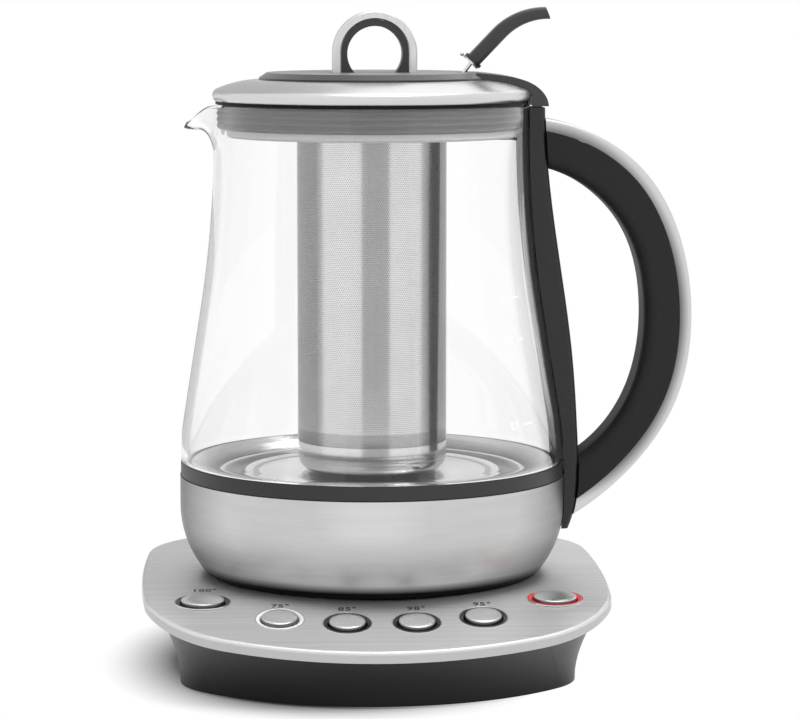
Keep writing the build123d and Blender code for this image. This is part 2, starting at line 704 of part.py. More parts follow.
def make_heater_plate():
    """The pressed steel floor of the jug, with its raised rings and gutter."""
    rim = BAND_RADIUS - BAND_WIDTH - SLIP
    low, high = HEATER_LEVEL - 0.6, HEATER_LEVEL + 0.9
    steps = [
        (0, HEATER_LEVEL),
        (ELEMENT_RADIUS - 4, HEATER_LEVEL),
        (ELEMENT_RADIUS - 1.5, high),
        (ELEMENT_RADIUS + 1.5, high),
        (ELEMENT_RADIUS + 4, low),
        (rim - 19, low),
        (rim - 16.5, high),
        (rim - 14, high),
        (rim - 11, low - 1),
        (rim - 7, low - 1),
        (rim - 3, high),
        (rim, high),
    ]
    lower = [(r, z - HEATER_WALL) for r, z in reversed(steps)]
    plate = turned(polygon(*steps, *lower))
    return plate - Pos(*SENSOR_PLACE, HEATER_LEVEL) * Cylinder(SENSOR_RADIUS + SLIP, BEYOND)


def make_heating_element():
    """The heating tube under the plate, pressed to flats, with its two cold ends."""
    centre = HEATER_LEVEL + 0.9 - HEATER_WALL - ELEMENT_TUBE
    section = Plane.XZ * Pos(ELEMENT_RADIUS, centre) * RegularPolygon(ELEMENT_TUBE, 8, rotation=22.5)
    element = Rot(0, 0, ELEMENT_GAP) * revolve(section, Axis.Z, 360 - 2 * ELEMENT_GAP)
    for angle in (-ELEMENT_GAP - 4, ELEMENT_GAP + 4):
        x, y = ELEMENT_RADIUS * cos(radians(angle)), ELEMENT_RADIUS * sin(radians(angle))
        element += rod((x, y, centre), (x, y, centre - 14), 2.2)
    return element


def make_thermostat():
    """The cut-out block over the socket, hung from the plate by two posts."""
    under_plate = HEATER_LEVEL - HEATER_WALL
    block = Pos(0, 0, 50) * extrude(RectangleRounded(42, 30, 3), 9)
    return block + [rod((x, 0, 55), (x, 0, under_plate), 3) for x in (-16, 16)]


def make_temperature_sensor():
    """The probe that stands up through the heater plate, with its nut below."""
    top = HEATER_LEVEL + 0.4
    nut_top = HEATER_LEVEL - HEATER_WALL
    side = Polyline((0, 62), (2, 62), (2, 67), (5, 67), (5, nut_top), (SENSOR_RADIUS, nut_top), (SENSOR_RADIUS, top))
    dome = TangentArc((0, top + 0.8), (SENSOR_RADIUS, top), tangent=(1, 0))
    profile = make_face([side, dome, Line((0, top + 0.8), (0, 62))])
    return Pos(*SENSOR_PLACE, 0) * turned(profile)


# ---- handle -------------------------------------------------------------------
def jug_envelope(gap):
    """The jug's body as one solid, larger all round by the gap."""
    shell = turned(within(parallel(jug_side(), -gap)))
    waist = ring(0, SHELL_RADIUS + gap, SHELL_TOP - 6, BAND_TOP + 1)
    return shell + waist + turned(within(parallel(glass_side(), -gap)))


def spine_outer():
    """The spine's outer side in the handle's plane, from its lower tip up."""
    return Spline(
        (78.6, 50.5),
        (80.3, 55.0),
        (82.3, 66.0),
        (82.3, 88.0),
        (79.9, 122.0),
        (74.3, 162.0),
        (70.0, 195.0),
        (68.6, RIM_TOP - 1.2),
    )


def spine_block(half_width, gap=0.0):
    """The spine before it is cut to the jug, larger on its outer side by the gap."""
    outer = parallel([spine_outer()], -gap)[0]
    start, end = outer @ 0, outer @ 1
    inside = NECK_RADIUS - 8
    return side_slab(make_face([outer, Polyline(end, (inside, end.Y), (inside, start.Y), start)]), half_width)


def make_handle_spine():
    """The dark bar down the side of the jug that the grip stands on."""
    block = spine_block(SPINE_HALF_WIDTH)
    long_edges = [e for e in block.edges() if e.length > 100 and (e @ 0.5).X > NECK_RADIUS]
    block = fillet(long_edges, SPINE_ROUND)
    bores = [
        rod((SHELL_RADIUS - BEYOND, 0, z), (SHELL_RADIUS + 3.1, 0, z), HANDLE_SCREW_RADIUS + RUNNING)
        for z in HANDLE_SCREW_HEIGHTS
    ]
    return block - jug_envelope(PARTING) - gasket_room(SLIP) - bores


def gasket_room(gap):
    """The layer on the glass that the gasket fills, grown by the gap."""
    wall = GASKET_WALL + 2 * gap
    layer = turned(band(parallel(glass_side(), gap - SLIP), -wall))
    return layer & Pos(NECK_RADIUS + 7, 0, 150) * Box(40, 2 * (SPINE_HALF_WIDTH - 1.5 + gap), 131 + 2 * gap)


def make_handle_gasket():
    """The strip that beds the spine on the glass."""
    return gasket_room(0.0)


def handle_outer():
    """The handle's outer side in its plane, from the top round to the bottom."""
    return Spline(
        (67.0, 215.6),
        (84.5, 211.0),
        (108.5, 194.5),
        (124.7, 162.3),
        (127.9, 136.0),
        (121.9, 102.0),
        (106.2, 77.5),
        (79.8, 55.6),
    )


def handle_inner():
    """The finger side of the grip, from the top round to the bottom."""
    return Spline(
        (67.0, 196.2),
        (84.5, 188.6),
        (100.6, 171.8),
        (108.8, 140.0),
        (101.4, 101.7),
        (80.0, 78.6),
    )


def make_handle_grip():
    """The dark grip: a loop with a round finger side, standing on the spine."""
    outer = parallel([handle_outer()], -STRAP_WALL - SLIP)[0]
    inner = handle_inner()
    face = make_face([outer, Line(outer @ 1, inner @ 1), inner, Line(inner @ 0, outer @ 0)])
    grip = side_slab(face, GRIP_HALF_WIDTH)
    middle = (inner @ 0.5).X
    finger_edges = [e for e in grip.edges() if e.length > 100 and abs((e @ 0.5).X - middle) < 3]
    grip = fillet(finger_edges, GRIP_ROUND)
    return grip - spine_block(GRIP_HALF_WIDTH + BEYOND, SLIP)


def make_handle_strap():
    """The brushed outer band of the handle."""
    strap = side_slab(band([handle_outer()], -STRAP_WALL), STRAP_HALF_WIDTH)
    outside = [e for e in strap.edges() if e.length > 100 and (e @ 0.5).X > (handle_outer() @ 0.5).X - 1]
    strap = fillet(outside, STRAP_ROUND)
    return strap - spine_block(STRAP_HALF_WIDTH + BEYOND, SLIP)


def make_handle_screws():
    """The screws from inside the steel bottom into the spine."""
    wall = SHELL_RADIUS - 3
    screws = []
    for z in HANDLE_SCREW_HEIGHTS:
        head = rod((wall - 2.5, 0, z), (wall, 0, z), HANDLE_SCREW_HEAD)
        screws.append(head + rod((wall - 1, 0, z), (SHELL_RADIUS + 2.6, 0, z), HANDLE_SCREW_RADIUS))
    return screws


# ---- lid ----------------------------------------------------------------------
def dome_side():
    """The lid dome's outer side: level under the cap, a falling slope and a rolled edge."""
    level = Line((CAP_RADIUS / 2, DOME_TOP), (CAP_RADIUS - 1, DOME_TOP))
    slope = JernArc(level @ 1, (1, 0), DOME_CROWN, -DOME_FALL)
    return [level, slope, JernArc(slope @ 1, slope % 1, DOME_ROLL, -DOME_ROLL_ARC)]


def lid_screw_places():
    """The three screws on their circle, one of them away from the lever."""
    return PolarLocations(LID_SCREW_CIRCLE, 3, start_angle=60)


def make_lid_dome():
    """The steel top of the lid."""
    dome = turned(band(dome_side(), -DOME_WALL))
    dome -= [place * Pos(0, 0, CAP_BOTTOM) * Cylinder(LID_BOSS_RADIUS + SLIP, BEYOND) for place in lid_screw_places()]
    return dome


def make_lid_base():
    """The dark plate under the dome that rests on the glass rim."""
    edge = LID_BASE_BOTTOM + 1.2
    profile = polygon(
        (0, LID_BASE_BOTTOM),
        (LID_BASE_RADIUS, LID_BASE_BOTTOM),
        (LID_BASE_RADIUS, edge),
        (LID_BASE_RADIUS - 1.4, edge),
        (LID_BASE_RADIUS - 1.4, LID_BASE_BOTTOM + LID_BASE_WALL),
        (0, LID_BASE_BOTTOM + LID_BASE_WALL),
    )
    plate = turned(profile)
    return plate - [place * Cylinder(LID_SCREW_RADIUS + 2 * SLIP, 3 * RIM_TOP) for place in lid_screw_places()]


def make_lid_skirt():
    """The frosted plug in the neck: a wall, and a floor that the infuser locks into."""
    wall = ring(SKIRT_RADIUS - SKIRT_WALL, SKIRT_RADIUS, SKIRT_BOTTOM, LID_BASE_BOTTOM)
    floor = ring(COLLAR_RADIUS + PARTING, SKIRT_RADIUS - 1, SKIRT_BOTTOM, SKIRT_BOTTOM + SKIRT_WALL)
    skirt = wall + floor
    skirt = chamfer(skirt.edges().group_by(Axis.Z)[0].sort_by(SortBy.RADIUS)[-1:], 0.8)
    notch = ring_sector(COLLAR_RADIUS - 1, COLLAR_RADIUS + LUG_REACH + PARTING, LUG_ARC + 3)
    notch = Pos(0, 0, SKIRT_BOTTOM - 1) * extrude(notch, SKIRT_WALL + 2)
    return skirt - [Rot(0, 0, INFUSER_TWIST + 120 * i) * notch for i in range(3)]


def ring_sector(inner, outer, angle):
    """A flat sector of a ring, centred on the X axis."""
    half = radians(angle / 2)
    side = outer * 1.2
    wedge = polygon((0, 0), (side, -side * tan(half)), (side, side * tan(half)))
    return (Circle(outer) - Circle(inner)) & wedge


def make_lid_seal():
    """The silicone seal round the plug, with three soft lips."""
    wall = SKIRT_RADIUS + SLIP
    lip = 1.4
    points = [(wall, SEAL_BOTTOM)]
    for i in range(3):
        low = SEAL_BOTTOM + 2.9 * i
        points += [(SEAL_RADIUS - 1, low), (SEAL_RADIUS, low + lip / 2), (SEAL_RADIUS - 0.3, low + lip)]
        points += [(SEAL_RADIUS - 0.9, low + lip + 0.2)]
    points += [(SEAL_RADIUS - 0.9, LID_BASE_BOTTOM - SLIP), (wall, LID_BASE_BOTTOM - SLIP)]
    return turned(polygon(*points))


def tongue_face():
    """The lid cap's tongue in the handle's plane, over the dome and down its side."""
    top = Spline(
        (CAP_RADIUS - 6, CAP_TOP),
        (49.0, CAP_TOP - 0.7),
        (58.0, CAP_TOP - 2.3),
        (65.0, CAP_TOP - 5.3),
        (68.8, CAP_TOP - 9.2),
        (TONGUE_TIP, RIM_TOP - 0.6),
        tangents=[(1, 0), (0.1, -1)],
    )
    inner = NECK_RADIUS - 5
    bottom = Polyline(top @ 1, (inner, RIM_TOP - 0.6), (inner, CAP_BOTTOM - 3), (CAP_RADIUS - 6, CAP_BOTTOM - 3), top @ 0)
    return make_face([top, bottom])


def make_lid_cap():
    """The dark cap on the dome, with a tongue that reaches down over the spine."""
    slope = ((CAP_RADIUS, CAP_BOTTOM + CAP_EDGE), (CAP_RADIUS - CAP_SLOPE, CAP_TOP), (0, CAP_TOP))
    disc = turned(polygon((0, CAP_BOTTOM), (CAP_RADIUS, CAP_BOTTOM), *slope))
    root, tip = CAP_RADIUS - 4, TONGUE_TIP + 1
    plan = polygon((root, -15), (root, 15), (tip, TONGUE_HALF_WIDTH), (tip, -TONGUE_HALF_WIDTH))
    tongue = side_slab(tongue_face(), BEYOND) & extrude(plan, 2 * RIM_TOP)
    dome_room = turned(within(parallel(dome_side(), SLIP)))
    neck_room = ring(0, DOME_REACH + PARTING, RIM_TOP - BEYOND, LID_BASE_BOTTOM + 4)
    cap = disc + (tongue - dome_room - neck_room)
    bosses = [place * Pos(0, 0, CAP_BOTTOM + 1) * hanging_boss() for place in lid_screw_places()]
    cap += bosses
    x, z = LEVER_PIVOT
    slot = Pos(x + 1.4, 0, CAP_BOTTOM + BEYOND / 2 + 0.1) * Box(7, LEVER_EYE_WIDTH + 2 * PARTING, BEYOND)
    pin_bore = rod((x, -LEVER_PIN_LENGTH / 2, z), (x, LEVER_PIN_LENGTH / 2, z), LEVER_PIN_RADIUS + RUNNING)
    seat = Box(RING_STRAP + SLIP, 2 * RING_HALF_WIDTH + SLIP, 2 * RING_SEAT_DEPTH)
    reach = RING_OUTER - RING_STRAP / 2
    seats = [Pos(RING_PLACE + side * reach, 0, CAP_TOP) * seat for side in (-1, 1)]
    return cap - slot - pin_bore - seats


def hanging_boss():
    """A boss from the cap down to the lid base, bored for its screw."""
    length = CAP_BOTTOM + 1 - LID_BASE_BOTTOM - LID_BASE_WALL - SLIP
    boss_body = Pos(0, 0, -length / 2) * Cylinder(LID_BOSS_RADIUS, length)
    return boss_body - Pos(0, 0, -length) * Cylinder(LID_SCREW_RADIUS + RUNNING, 2 * length - 2)


def make_lid_screws():
    """The screws from under the lid base into the cap's bosses."""
    top = CAP_BOTTOM - 1.5
    screw = ring(0, LID_SCREW_RADIUS, LID_BASE_BOTTOM - 0.5, top)
    screw += ring(0, 2 * LID_SCREW_RADIUS, LID_BASE_BOTTOM - 1.5, LID_BASE_BOTTOM)
    return [place * screw for place in lid_screw_places()]


def arch(radius, centre, bottom):
    """A filled arch in the handle's plane: a half circle on straight sides."""
    leg = Pos(RING_PLACE, (centre + bottom) / 2) * Rectangle(2 * radius, centre - bottom)
    return Pos(RING_PLACE, centre) * Circle(radius) + leg


def make_ring_strap():
    """The bright outer strap of the lid's ring, let into the cap."""
    centre = RING_TOP - RING_OUTER
    foot = CAP_TOP - RING_SEAT_DEPTH
    face = arch(RING_OUTER, centre, foot) - arch(RING_OUTER - RING_STRAP, centre, foot - 1)
    face -= Pos(RING_PLACE, foot - RING_OUTER) * Rectangle(3 * RING_OUTER, 2 * RING_OUTER)
    strap = side_slab(face, RING_HALF_WIDTH)
    long_edges = [e for e in strap.edges() if e.length > RING_OUTER]
    return chamfer(long_edges, 0.5)


def make_ring_liner():
    """The dark lining of the ring, thicker at its feet, with a round hole."""
    centre = RING_TOP - RING_OUTER
    outer = arch(RING_OUTER - RING_STRAP - RUNNING, centre, CAP_TOP)
    face = outer - Pos(RING_PLACE, RING_HOLE_HEIGHT) * Circle(RING_HOLE)
    face -= Pos(RING_PLACE, CAP_TOP - RING_OUTER) * Rectangle(3 * RING_OUTER, 2 * RING_OUTER)
    return side_slab(face, RING_HALF_WIDTH - 0.5)


# ---- lever --------------------------------------------------------------------
def along(angle, distance, start=LEVER_PIVOT):
    """A point in the handle's plane, at an angle over the level from the start."""
    return start[0] + distance * cos(radians(angle)), start[1] + distance * sin(radians(angle))


def in_plane(point, y=0.0):
    """A point of the handle's plane in space."""
    return point[0], y, point[1]


def make_lever_stem():
    """The thin rod of the lever, with an eye for the pin."""
    x, z = LEVER_PIVOT
    half = LEVER_EYE_WIDTH / 2
    eye = rod((x, -half, z), (x, half, z), LEVER_EYE_RADIUS)
    knee = along(STEM_ANGLE, STEM_LENGTH)
    stem = eye + rod(in_plane(LEVER_PIVOT), in_plane(knee), STEM_ROD)
    stem += Pos(*in_plane(knee)) * Sphere(STEM_ROD)
    stem += rod(in_plane(knee), in_plane(along(LEVER_ANGLE, 8, knee)), STEM_ROD)
    return stem - rod((x, -2 * half, z), (x, 2 * half, z), LEVER_PIN_RADIUS + RUNNING)


def make_lever_grip():
    """The curved dark grip of the lever, with a flange at its foot."""
    knee = along(STEM_ANGLE, STEM_LENGTH)
    start = along(LEVER_ANGLE, LEVER_FLANGE_WALL, knee)
    direction = Vector(cos(radians(LEVER_ANGLE)), sin(radians(LEVER_ANGLE)))
    run = Line(start, Vector(*start) + direction * LEVER_RUN)
    bend = JernArc(run @ 1, direction, LEVER_BEND, -LEVER_TURN)
    half, tip_half = LEVER_WALL / 2, LEVER_TIP_WALL / 2
    places = ((run, 0, half), (run, 1, half), (bend, 0.5, (half + tip_half) / 2), (bend, 1, tip_half))
    upper = [beside(curve, share, side) for curve, share, side in places]
    lower = [beside(curve, share, -side) for curve, share, side in places]
    tip = lower[3] + (bend % 1) * 1.8
    face = make_face(
        [
            Line(upper[0], upper[1]),
            ThreePointArc(upper[1], upper[2], upper[3]),
            Line(upper[3], tip),
            Line(tip, lower[3]),
            ThreePointArc(lower[3], lower[2], lower[1]),
            Polyline(lower[1], lower[0], upper[0]),
        ]
    )
    grip = side_slab(face, LEVER_HALF_WIDTH)
    long_edges = [e for e in grip.edges() if abs((e @ 0.5).Y) > LEVER_HALF_WIDTH - SLIP and e.length > 10]
    grip = fillet(long_edges, LEVER_ROUND)
    grip += rod(in_plane(knee), in_plane(along(LEVER_ANGLE, LEVER_FLANGE_WALL + 0.2, knee)), LEVER_FLANGE)
    return grip - rod(in_plane(knee), in_plane(along(LEVER_ANGLE, 8.2, knee)), STEM_ROD + RUNNING)


def make_lever_washer():
    """The bright washer under the flange, with a small tab and bead."""
    knee = along(STEM_ANGLE, STEM_LENGTH)
    low = along(LEVER_ANGLE, -WASHER_WALL - SLIP, knee)
    high = along(LEVER_ANGLE, -SLIP, knee)
    washer = rod(in_plane(low), in_plane(high), WASHER_RADIUS)
    bead = along(LEVER_ANGLE + 90, WASHER_RADIUS + 1.6, along(LEVER_ANGLE, -WASHER_WALL / 2 - SLIP, knee))
    washer += rod(in_plane(knee_side(WASHER_RADIUS - 1)), in_plane(bead), WASHER_WALL / 2 - RUNNING)
    washer += Pos(*in_plane(bead)) * Sphere(0.8)
    return washer - rod(in_plane(LEVER_PIVOT), in_plane(along(STEM_ANGLE, STEM_LENGTH + 3)), STEM_ROD + SLIP)


def knee_side(distance):
    """A point beside the lever's knee, in the middle of the washer's wall."""
    knee = along(STEM_ANGLE, STEM_LENGTH)
    return along(LEVER_ANGLE + 90, distance, along(LEVER_ANGLE, -WASHER_WALL / 2 - SLIP, knee))


def make_lever_pin():
    """The cross pin that the lever swings on."""
    x, z = LEVER_PIVOT
    half = LEVER_PIN_LENGTH / 2 - SLIP
    return rod((x, -half, z), (x, half, z), LEVER_PIN_RADIUS)


# ---- infuser ------------------------------------------------------------------
def make_infuser_tube():
    """The thin tube that holds the tea; its fine holes are left to its finish."""
    return ring(INFUSER_RADIUS - INFUSER_WALL, INFUSER_RADIUS, INFUSER_BOTTOM + CUP_HEIGHT, COLLAR_BOTTOM)


def make_infuser_cup():
    """The closed bottom of the infuser, with a spigot inside the tube."""
    top = INFUSER_BOTTOM + CUP_HEIGHT
    spigot = INFUSER_RADIUS - INFUSER_WALL - RUNNING
    cup = ring(0, INFUSER_RADIUS, INFUSER_BOTTOM, top)
    cup = fillet(cup.edges().sort_by(Axis.Z)[:1], CUP_ROUND)
    cup += ring(0, spigot, top - 1, top + 3)
    hollow = ring(0, INFUSER_RADIUS - 1.2, INFUSER_BOTTOM + 0.8, top + BEYOND)
    hollow = chamfer(hollow.edges().sort_by(Axis.Z)[:1], CUP_ROUND / 2)
    return cup - hollow


def make_infuser_collar():
    """The collar at the infuser's top, with three lugs that lock into the lid."""
    spigot = INFUSER_RADIUS - INFUSER_WALL - RUNNING
    bore = spigot - 0.8
    collar = ring(bore, COLLAR_RADIUS, COLLAR_BOTTOM, COLLAR_TOP) + ring(bore, spigot, COLLAR_BOTTOM - 4, COLLAR_BOTTOM + 1)
    lug = extrude(ring_sector(COLLAR_RADIUS - 1, COLLAR_RADIUS + LUG_REACH, LUG_ARC), LUG_WALL)
    lug = Pos(0, 0, SKIRT_BOTTOM + SKIRT_WALL + PARTING) * lug
    return collar + [Rot(0, 0, 120 * i) * lug for i in range(3)]


# ---- the set ------------------------------------------------------------------
def make_parts():
    """Every sub-part by name."""
    rings = {name: make_light_ring(*place) for name, place in BUTTONS.items()}
    parts = {
        "base_top_plate": make_base_plate(),
        "base_case": make_base_case(),
        "base_bottom_cover": make_bottom_cover(),
        "base_feet": make_base_feet(),
        "base_screws": make_base_screws(),
        "cord_inlet": make_cord_inlet(),
        "control_board": make_control_board(),
        "push_switches": make_switches(),
        "power_board": make_power_board(),
        "relay": on_power_board(-30, RELAY_SIZE),
        "transformer": on_power_board(18, TRANSFORMER_SIZE),
        "light_rings": [rings[name] for name in ("boil", "black", "herbal", "oolong")],
        "light_ring_green": rings["green"],
        "light_ring_power": rings["power"],
        "base_connector": make_base_connector(),
        "base_contacts": make_base_contacts(),
        "jug_connector": make_jug_connector(),
        "glass_jug": make_glass_jug(),
        "jug_shell": make_jug_shell(),
        "jug_bottom_cover": make_jug_bottom_cover(),
        "jug_seal_band": make_seal_band(),
        "heater_plate": make_heater_plate(),
        "heating_element": make_heating_element(),
        "thermostat": make_thermostat(),
        "temperature_sensor": make_temperature_sensor(),
        "handle_spine": make_handle_spine(),
        "handle_gasket": make_handle_gasket(),
        "handle_grip": make_handle_grip(),
        "handle_strap": make_handle_strap(),
        "handle_screws": make_handle_screws(),
        "lid_dome": make_lid_dome(),
        "lid_base": make_lid_base(),
        "lid_skirt": make_lid_skirt(),
        "lid_seal": make_lid_seal(),
        "lid_cap": make_lid_cap(),
        "lid_screws": make_lid_screws(),
        "lid_ring_strap": make_ring_strap(),
        "lid_ring_liner": make_ring_liner(),
        "lever_pin": make_lever_pin(),
        "lever_stem": make_lever_stem(),
        "lever_grip": make_lever_grip(),
        "lever_washer": make_lever_washer(),
        "infuser_tube": make_infuser_tube(),
        "infuser_cup": make_infuser_cup(),
        "infuser_collar": make_infuser_collar(),
    }
    parts.update({"button_" + name: make_button(*place) for name, place in BUTTONS.items()})
    return parts


def main():
    os.makedirs("parts", exist_ok=True)
    reach = (handle_outer().bounding_box()).max.X
    origin = Pos((BASE_HALF_WIDTH - reach) / 2, (BASE_FRONT - BASE_BACK) / 2, -TABLE)
    for name, shape in make_parts().items():
        solids = shape if isinstance(shape, list) else [shape]
        moved = [origin * solid for solid in solids]
        export_step(moved[0] if len(moved) == 1 else Compound(children=moved), f"parts/{name}.step")
    print("jug axis at", origin.position)


main()
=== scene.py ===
import json
from math import asin, cos, degrees, pi, radians, sin, tan

import bpy
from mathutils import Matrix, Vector


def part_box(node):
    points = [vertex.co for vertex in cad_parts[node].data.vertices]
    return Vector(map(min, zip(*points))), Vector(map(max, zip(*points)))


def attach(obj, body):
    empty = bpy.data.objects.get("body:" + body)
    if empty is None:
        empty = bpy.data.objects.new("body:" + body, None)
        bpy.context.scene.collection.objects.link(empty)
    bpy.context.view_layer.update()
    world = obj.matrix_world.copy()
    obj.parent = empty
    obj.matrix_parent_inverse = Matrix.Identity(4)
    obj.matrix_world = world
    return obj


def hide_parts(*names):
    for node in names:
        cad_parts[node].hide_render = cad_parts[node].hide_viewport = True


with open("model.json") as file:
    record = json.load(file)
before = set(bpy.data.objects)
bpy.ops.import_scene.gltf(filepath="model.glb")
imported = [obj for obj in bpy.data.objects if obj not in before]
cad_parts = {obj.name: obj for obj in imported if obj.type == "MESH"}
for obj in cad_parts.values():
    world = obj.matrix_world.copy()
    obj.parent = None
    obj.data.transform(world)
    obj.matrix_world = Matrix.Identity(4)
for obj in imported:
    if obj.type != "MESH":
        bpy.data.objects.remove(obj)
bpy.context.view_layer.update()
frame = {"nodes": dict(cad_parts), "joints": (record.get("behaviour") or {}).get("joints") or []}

NODES = frame["nodes"]
JOINTS = {joint["name"]: joint for joint in frame["joints"]}
AXIS = Vector(JOINTS["jug_turn"]["pos_m"][:2] + [0])   # the jug's axis, on the table

# ---- sizes, in metres ---------------------------------------------------------
SHELL_WALL = 0.0008
SHELL_BELLY = 0.041       # radius of the steel bottom's side
SHELL_UPRIGHT = 0.012     # height of its straight top
GLASS_WALL = 0.0026
GLASS_LEAN = 9.1
GLASS_SHOULDER = 0.110
NECK_SWEEP = 0.450
NECK_RADIUS = 0.0631
SPOUT_DRAW = 0.0132       # how far the lip is drawn out
SPOUT_DROP = 0.0090
SPOUT_SPREAD = 0.020      # how far round and down that pulls the glass
SPOUT_DIP = 0.017         # how wide the lip dips
DOME_WALL = 0.0008
DOME_FLAT = 0.044         # where the dome starts to fall
DOME_CROWN = 0.0456
DOME_FALL = 23.2
DOME_ROLL = 0.0028
DOME_ROLL_ARC = 116
HEATER_RIDGE = 0.0009     # how far the ridges stand over the flat middle
HEATER_STEPS = (          # inwards from the rim, and up from the flat middle
    (0.0045, 0.0006), (0.0072, -0.0012), (0.0095, -0.0014), (0.0108, -0.0002), (0.0118, 0.0009),
    (0.0132, 0.0007), (0.0150, -0.0013), (0.0205, -0.0014), (0.0218, 0.0006), (0.0230, 0.0009),
    (0.0242, 0.0004), (0.0255, -0.0001), (0.0275, 0.0),
)
INFUSER_RADIUS = 0.030
INFUSER_WALL = 0.0005
HOLES_ROUND = 216         # holes in one row round the tube
HOLE_ROWS = 0.00076       # from one row to the next
TUBE_BORDER = 0.0050      # height of the tube's plain border at its foot, drawn darker; the holes still run over it
CUP_SEAM = 0.0050         # from the cup's floor to its rolled seam, and in to the flat of the floor
CUP_BEND = 0.0046
STRAP_MIDDLE = 0.0657     # from the strap's outside in to the middle of the handle's oval
STRAP_RISE = 0.0005
STRAP_RADII = (0.0659, 0.0804)
BEND_Y = -0.0555          # where the plate bends down, from the jug's axis
BEND_RADIUS = 0.109
PANEL_SLOPE = 13.7
RING_WIDTH = 0.0017
BUTTON_GAP = 0.0003
BUTTON_PROUD = 0.0016
BUTTONS = {               # place from the jug's axis, radius of the light ring, and its number
    "boil": (-0.0681, -0.0645, 0.0105, "100°"),
    "green": (-0.0388, -0.0837, 0.0091, "75°"),
    "black": (-0.0132, -0.0877, 0.0091, "85°"),
    "herbal": (0.0132, -0.0877, 0.0091, "98°"),
    "oolong": (0.0388, -0.0837, 0.0091, "95°"),
    "power": (0.0681, -0.0645, 0.0105, None),
}
LEVELS = (                # height, direction from +X in degrees, length of the mark, and its number
    ("full", 0.1510, -37, 0.0062, "1.2"),
    ("middle", 0.1345, -37, 0.0042, "0.9"),
    ("low", 0.1010, -39, 0.0062, "0.5"),
)
LEVEL_RADIUS = 0.079      # a little outside the glass, on which the marks are then laid
CAMERA_PLACE = (-0.0549, -1.2769, 0.2697)   # from the jug's axis
CAMERA_BEARING = 2.46     # its bearing from there, in degrees
CAMERA_TURN = -2.968
CAMERA_DROP = 6.663
LENS = 143.6
NODE_SMOOTH = 28          # the shading's angle on the pieces that come as they are


# ---- modelling helpers --------------------------------------------------------
def select_only(*pieces):
    """These pieces are selected, the last of them active, and nothing else is."""
    if bpy.context.object and bpy.context.object.mode != "OBJECT":
        bpy.ops.object.mode_set(mode="OBJECT")
    bpy.ops.object.select_all(action="DESELECT")
    for piece in pieces:
        piece.select_set(True)
        bpy.context.view_layer.objects.active = piece


def select_where(piece, kind, test):
    """In edit mode afterwards, with just the vertices or polygons whose place passes the test."""
    bpy.ops.object.mode_set(mode="EDIT")
    bpy.ops.mesh.select_mode(type="VERT" if kind == "vertices" else "FACE")
    bpy.ops.mesh.select_all(action="DESELECT")
    bpy.ops.object.mode_set(mode="OBJECT")
    for part in getattr(piece.data, kind):
        place = part.co if kind == "vertices" else part.center
        part.select = bool(test(piece.matrix_world @ place))
    bpy.ops.object.mode_set(mode="EDIT")


def add_modifier(piece, kind, **values):
    """A modifier with these values, applied at once."""
    select_only(piece)
    modifier = piece.modifiers.new(kind.lower(), kind)
    for key, value in values.items():
        setattr(modifier, key, value)
    bpy.ops.object.modifier_apply(modifier=modifier.name)


def pull(value, falloff, reach):
    """What is selected is moved, and takes along what lies within its reach."""
    bpy.ops.transform.translate(
        value=value, use_proportional_edit=True, proportional_edit_falloff=falloff, proportional_size=reach
    )


def arc_rings(start, heading, radius, turn, steps):
    """Rings (radius, height) along an arc that leaves start at a heading and turns left, in degrees."""
    side = 1 if turn > 0 else -1
    aside, up = side * radius * sin(radians(heading)), side * radius * cos(radians(heading))
    middle = (start[0] - aside, start[1] + up)
    rings = []
    for step in range(1, steps + 1):
        angle = radians(heading + turn * step / steps)
        rings.append((middle[0] + side * radius * sin(angle), middle[1] - side * radius * cos(angle)))
    return rings


def line_rings(start, end, steps):
    """Rings evenly spaced on a straight line, without its start."""
    shares = [step / steps for step in range(1, steps + 1)]
    return [(start[0] + (end[0] - start[0]) * s, start[1] + (end[1] - start[1]) * s) for s in shares]


def turn_up(name, rings, segments=192, centre=AXIS, closed=False):
    """A turned sheet about an upright axis: a circle drawn out from ring to ring."""
    (radius, height), *rest = rings
    select_only()
    bpy.ops.mesh.primitive_circle_add(
        vertices=segments, radius=radius, location=(centre[0], centre[1], height)
    )
    piece = bpy.context.object
    piece.name = name
    bpy.ops.object.mode_set(mode="EDIT")
    bpy.ops.mesh.select_mode(type="VERT")
    bpy.ops.mesh.select_all(action="SELECT")
    for next_radius, next_height in rest:
        bpy.ops.mesh.extrude_region_move(TRANSFORM_OT_translate={"value": (0, 0, next_height - height)})
        scale = next_radius / radius
        bpy.ops.transform.resize(value=(scale, scale, 1), center_override=(centre[0], centre[1], next_height))
        radius, height = next_radius, next_height
    bpy.ops.mesh.select_all(action="SELECT")
    bpy.ops.mesh.remove_doubles(threshold=0.000001)
    if closed:
        bpy.ops.mesh.fill_holes(sides=0)
        bpy.ops.mesh.select_all(action="SELECT")
    bpy.ops.mesh.normals_make_consistent(inside=False)
    bpy.ops.object.mode_set(mode="OBJECT")
    bpy.ops.object.transform_apply(location=True, rotation=True, scale=True)
    return piece


def finish_piece(piece, material, body, nodes, smooth=35):
    """The piece gets its place into its mesh, its look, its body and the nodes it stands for."""
    select_only(piece)
    bpy.ops.object.transform_apply(location=True, rotation=True, scale=True)
    bpy.ops.object.mode_set(mode="EDIT")
    bpy.ops.mesh.select_all(action="SELECT")
    bpy.ops.mesh.normals_make_consistent(inside=False)
    bpy.ops.object.mode_set(mode="OBJECT")
    bpy.ops.object.shade_smooth_by_angle(angle=radians(smooth))
    piece.data.materials.clear()
    piece.data.materials.append(material)
    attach(piece, body)
    if nodes:
        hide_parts(*nodes)
    return piece


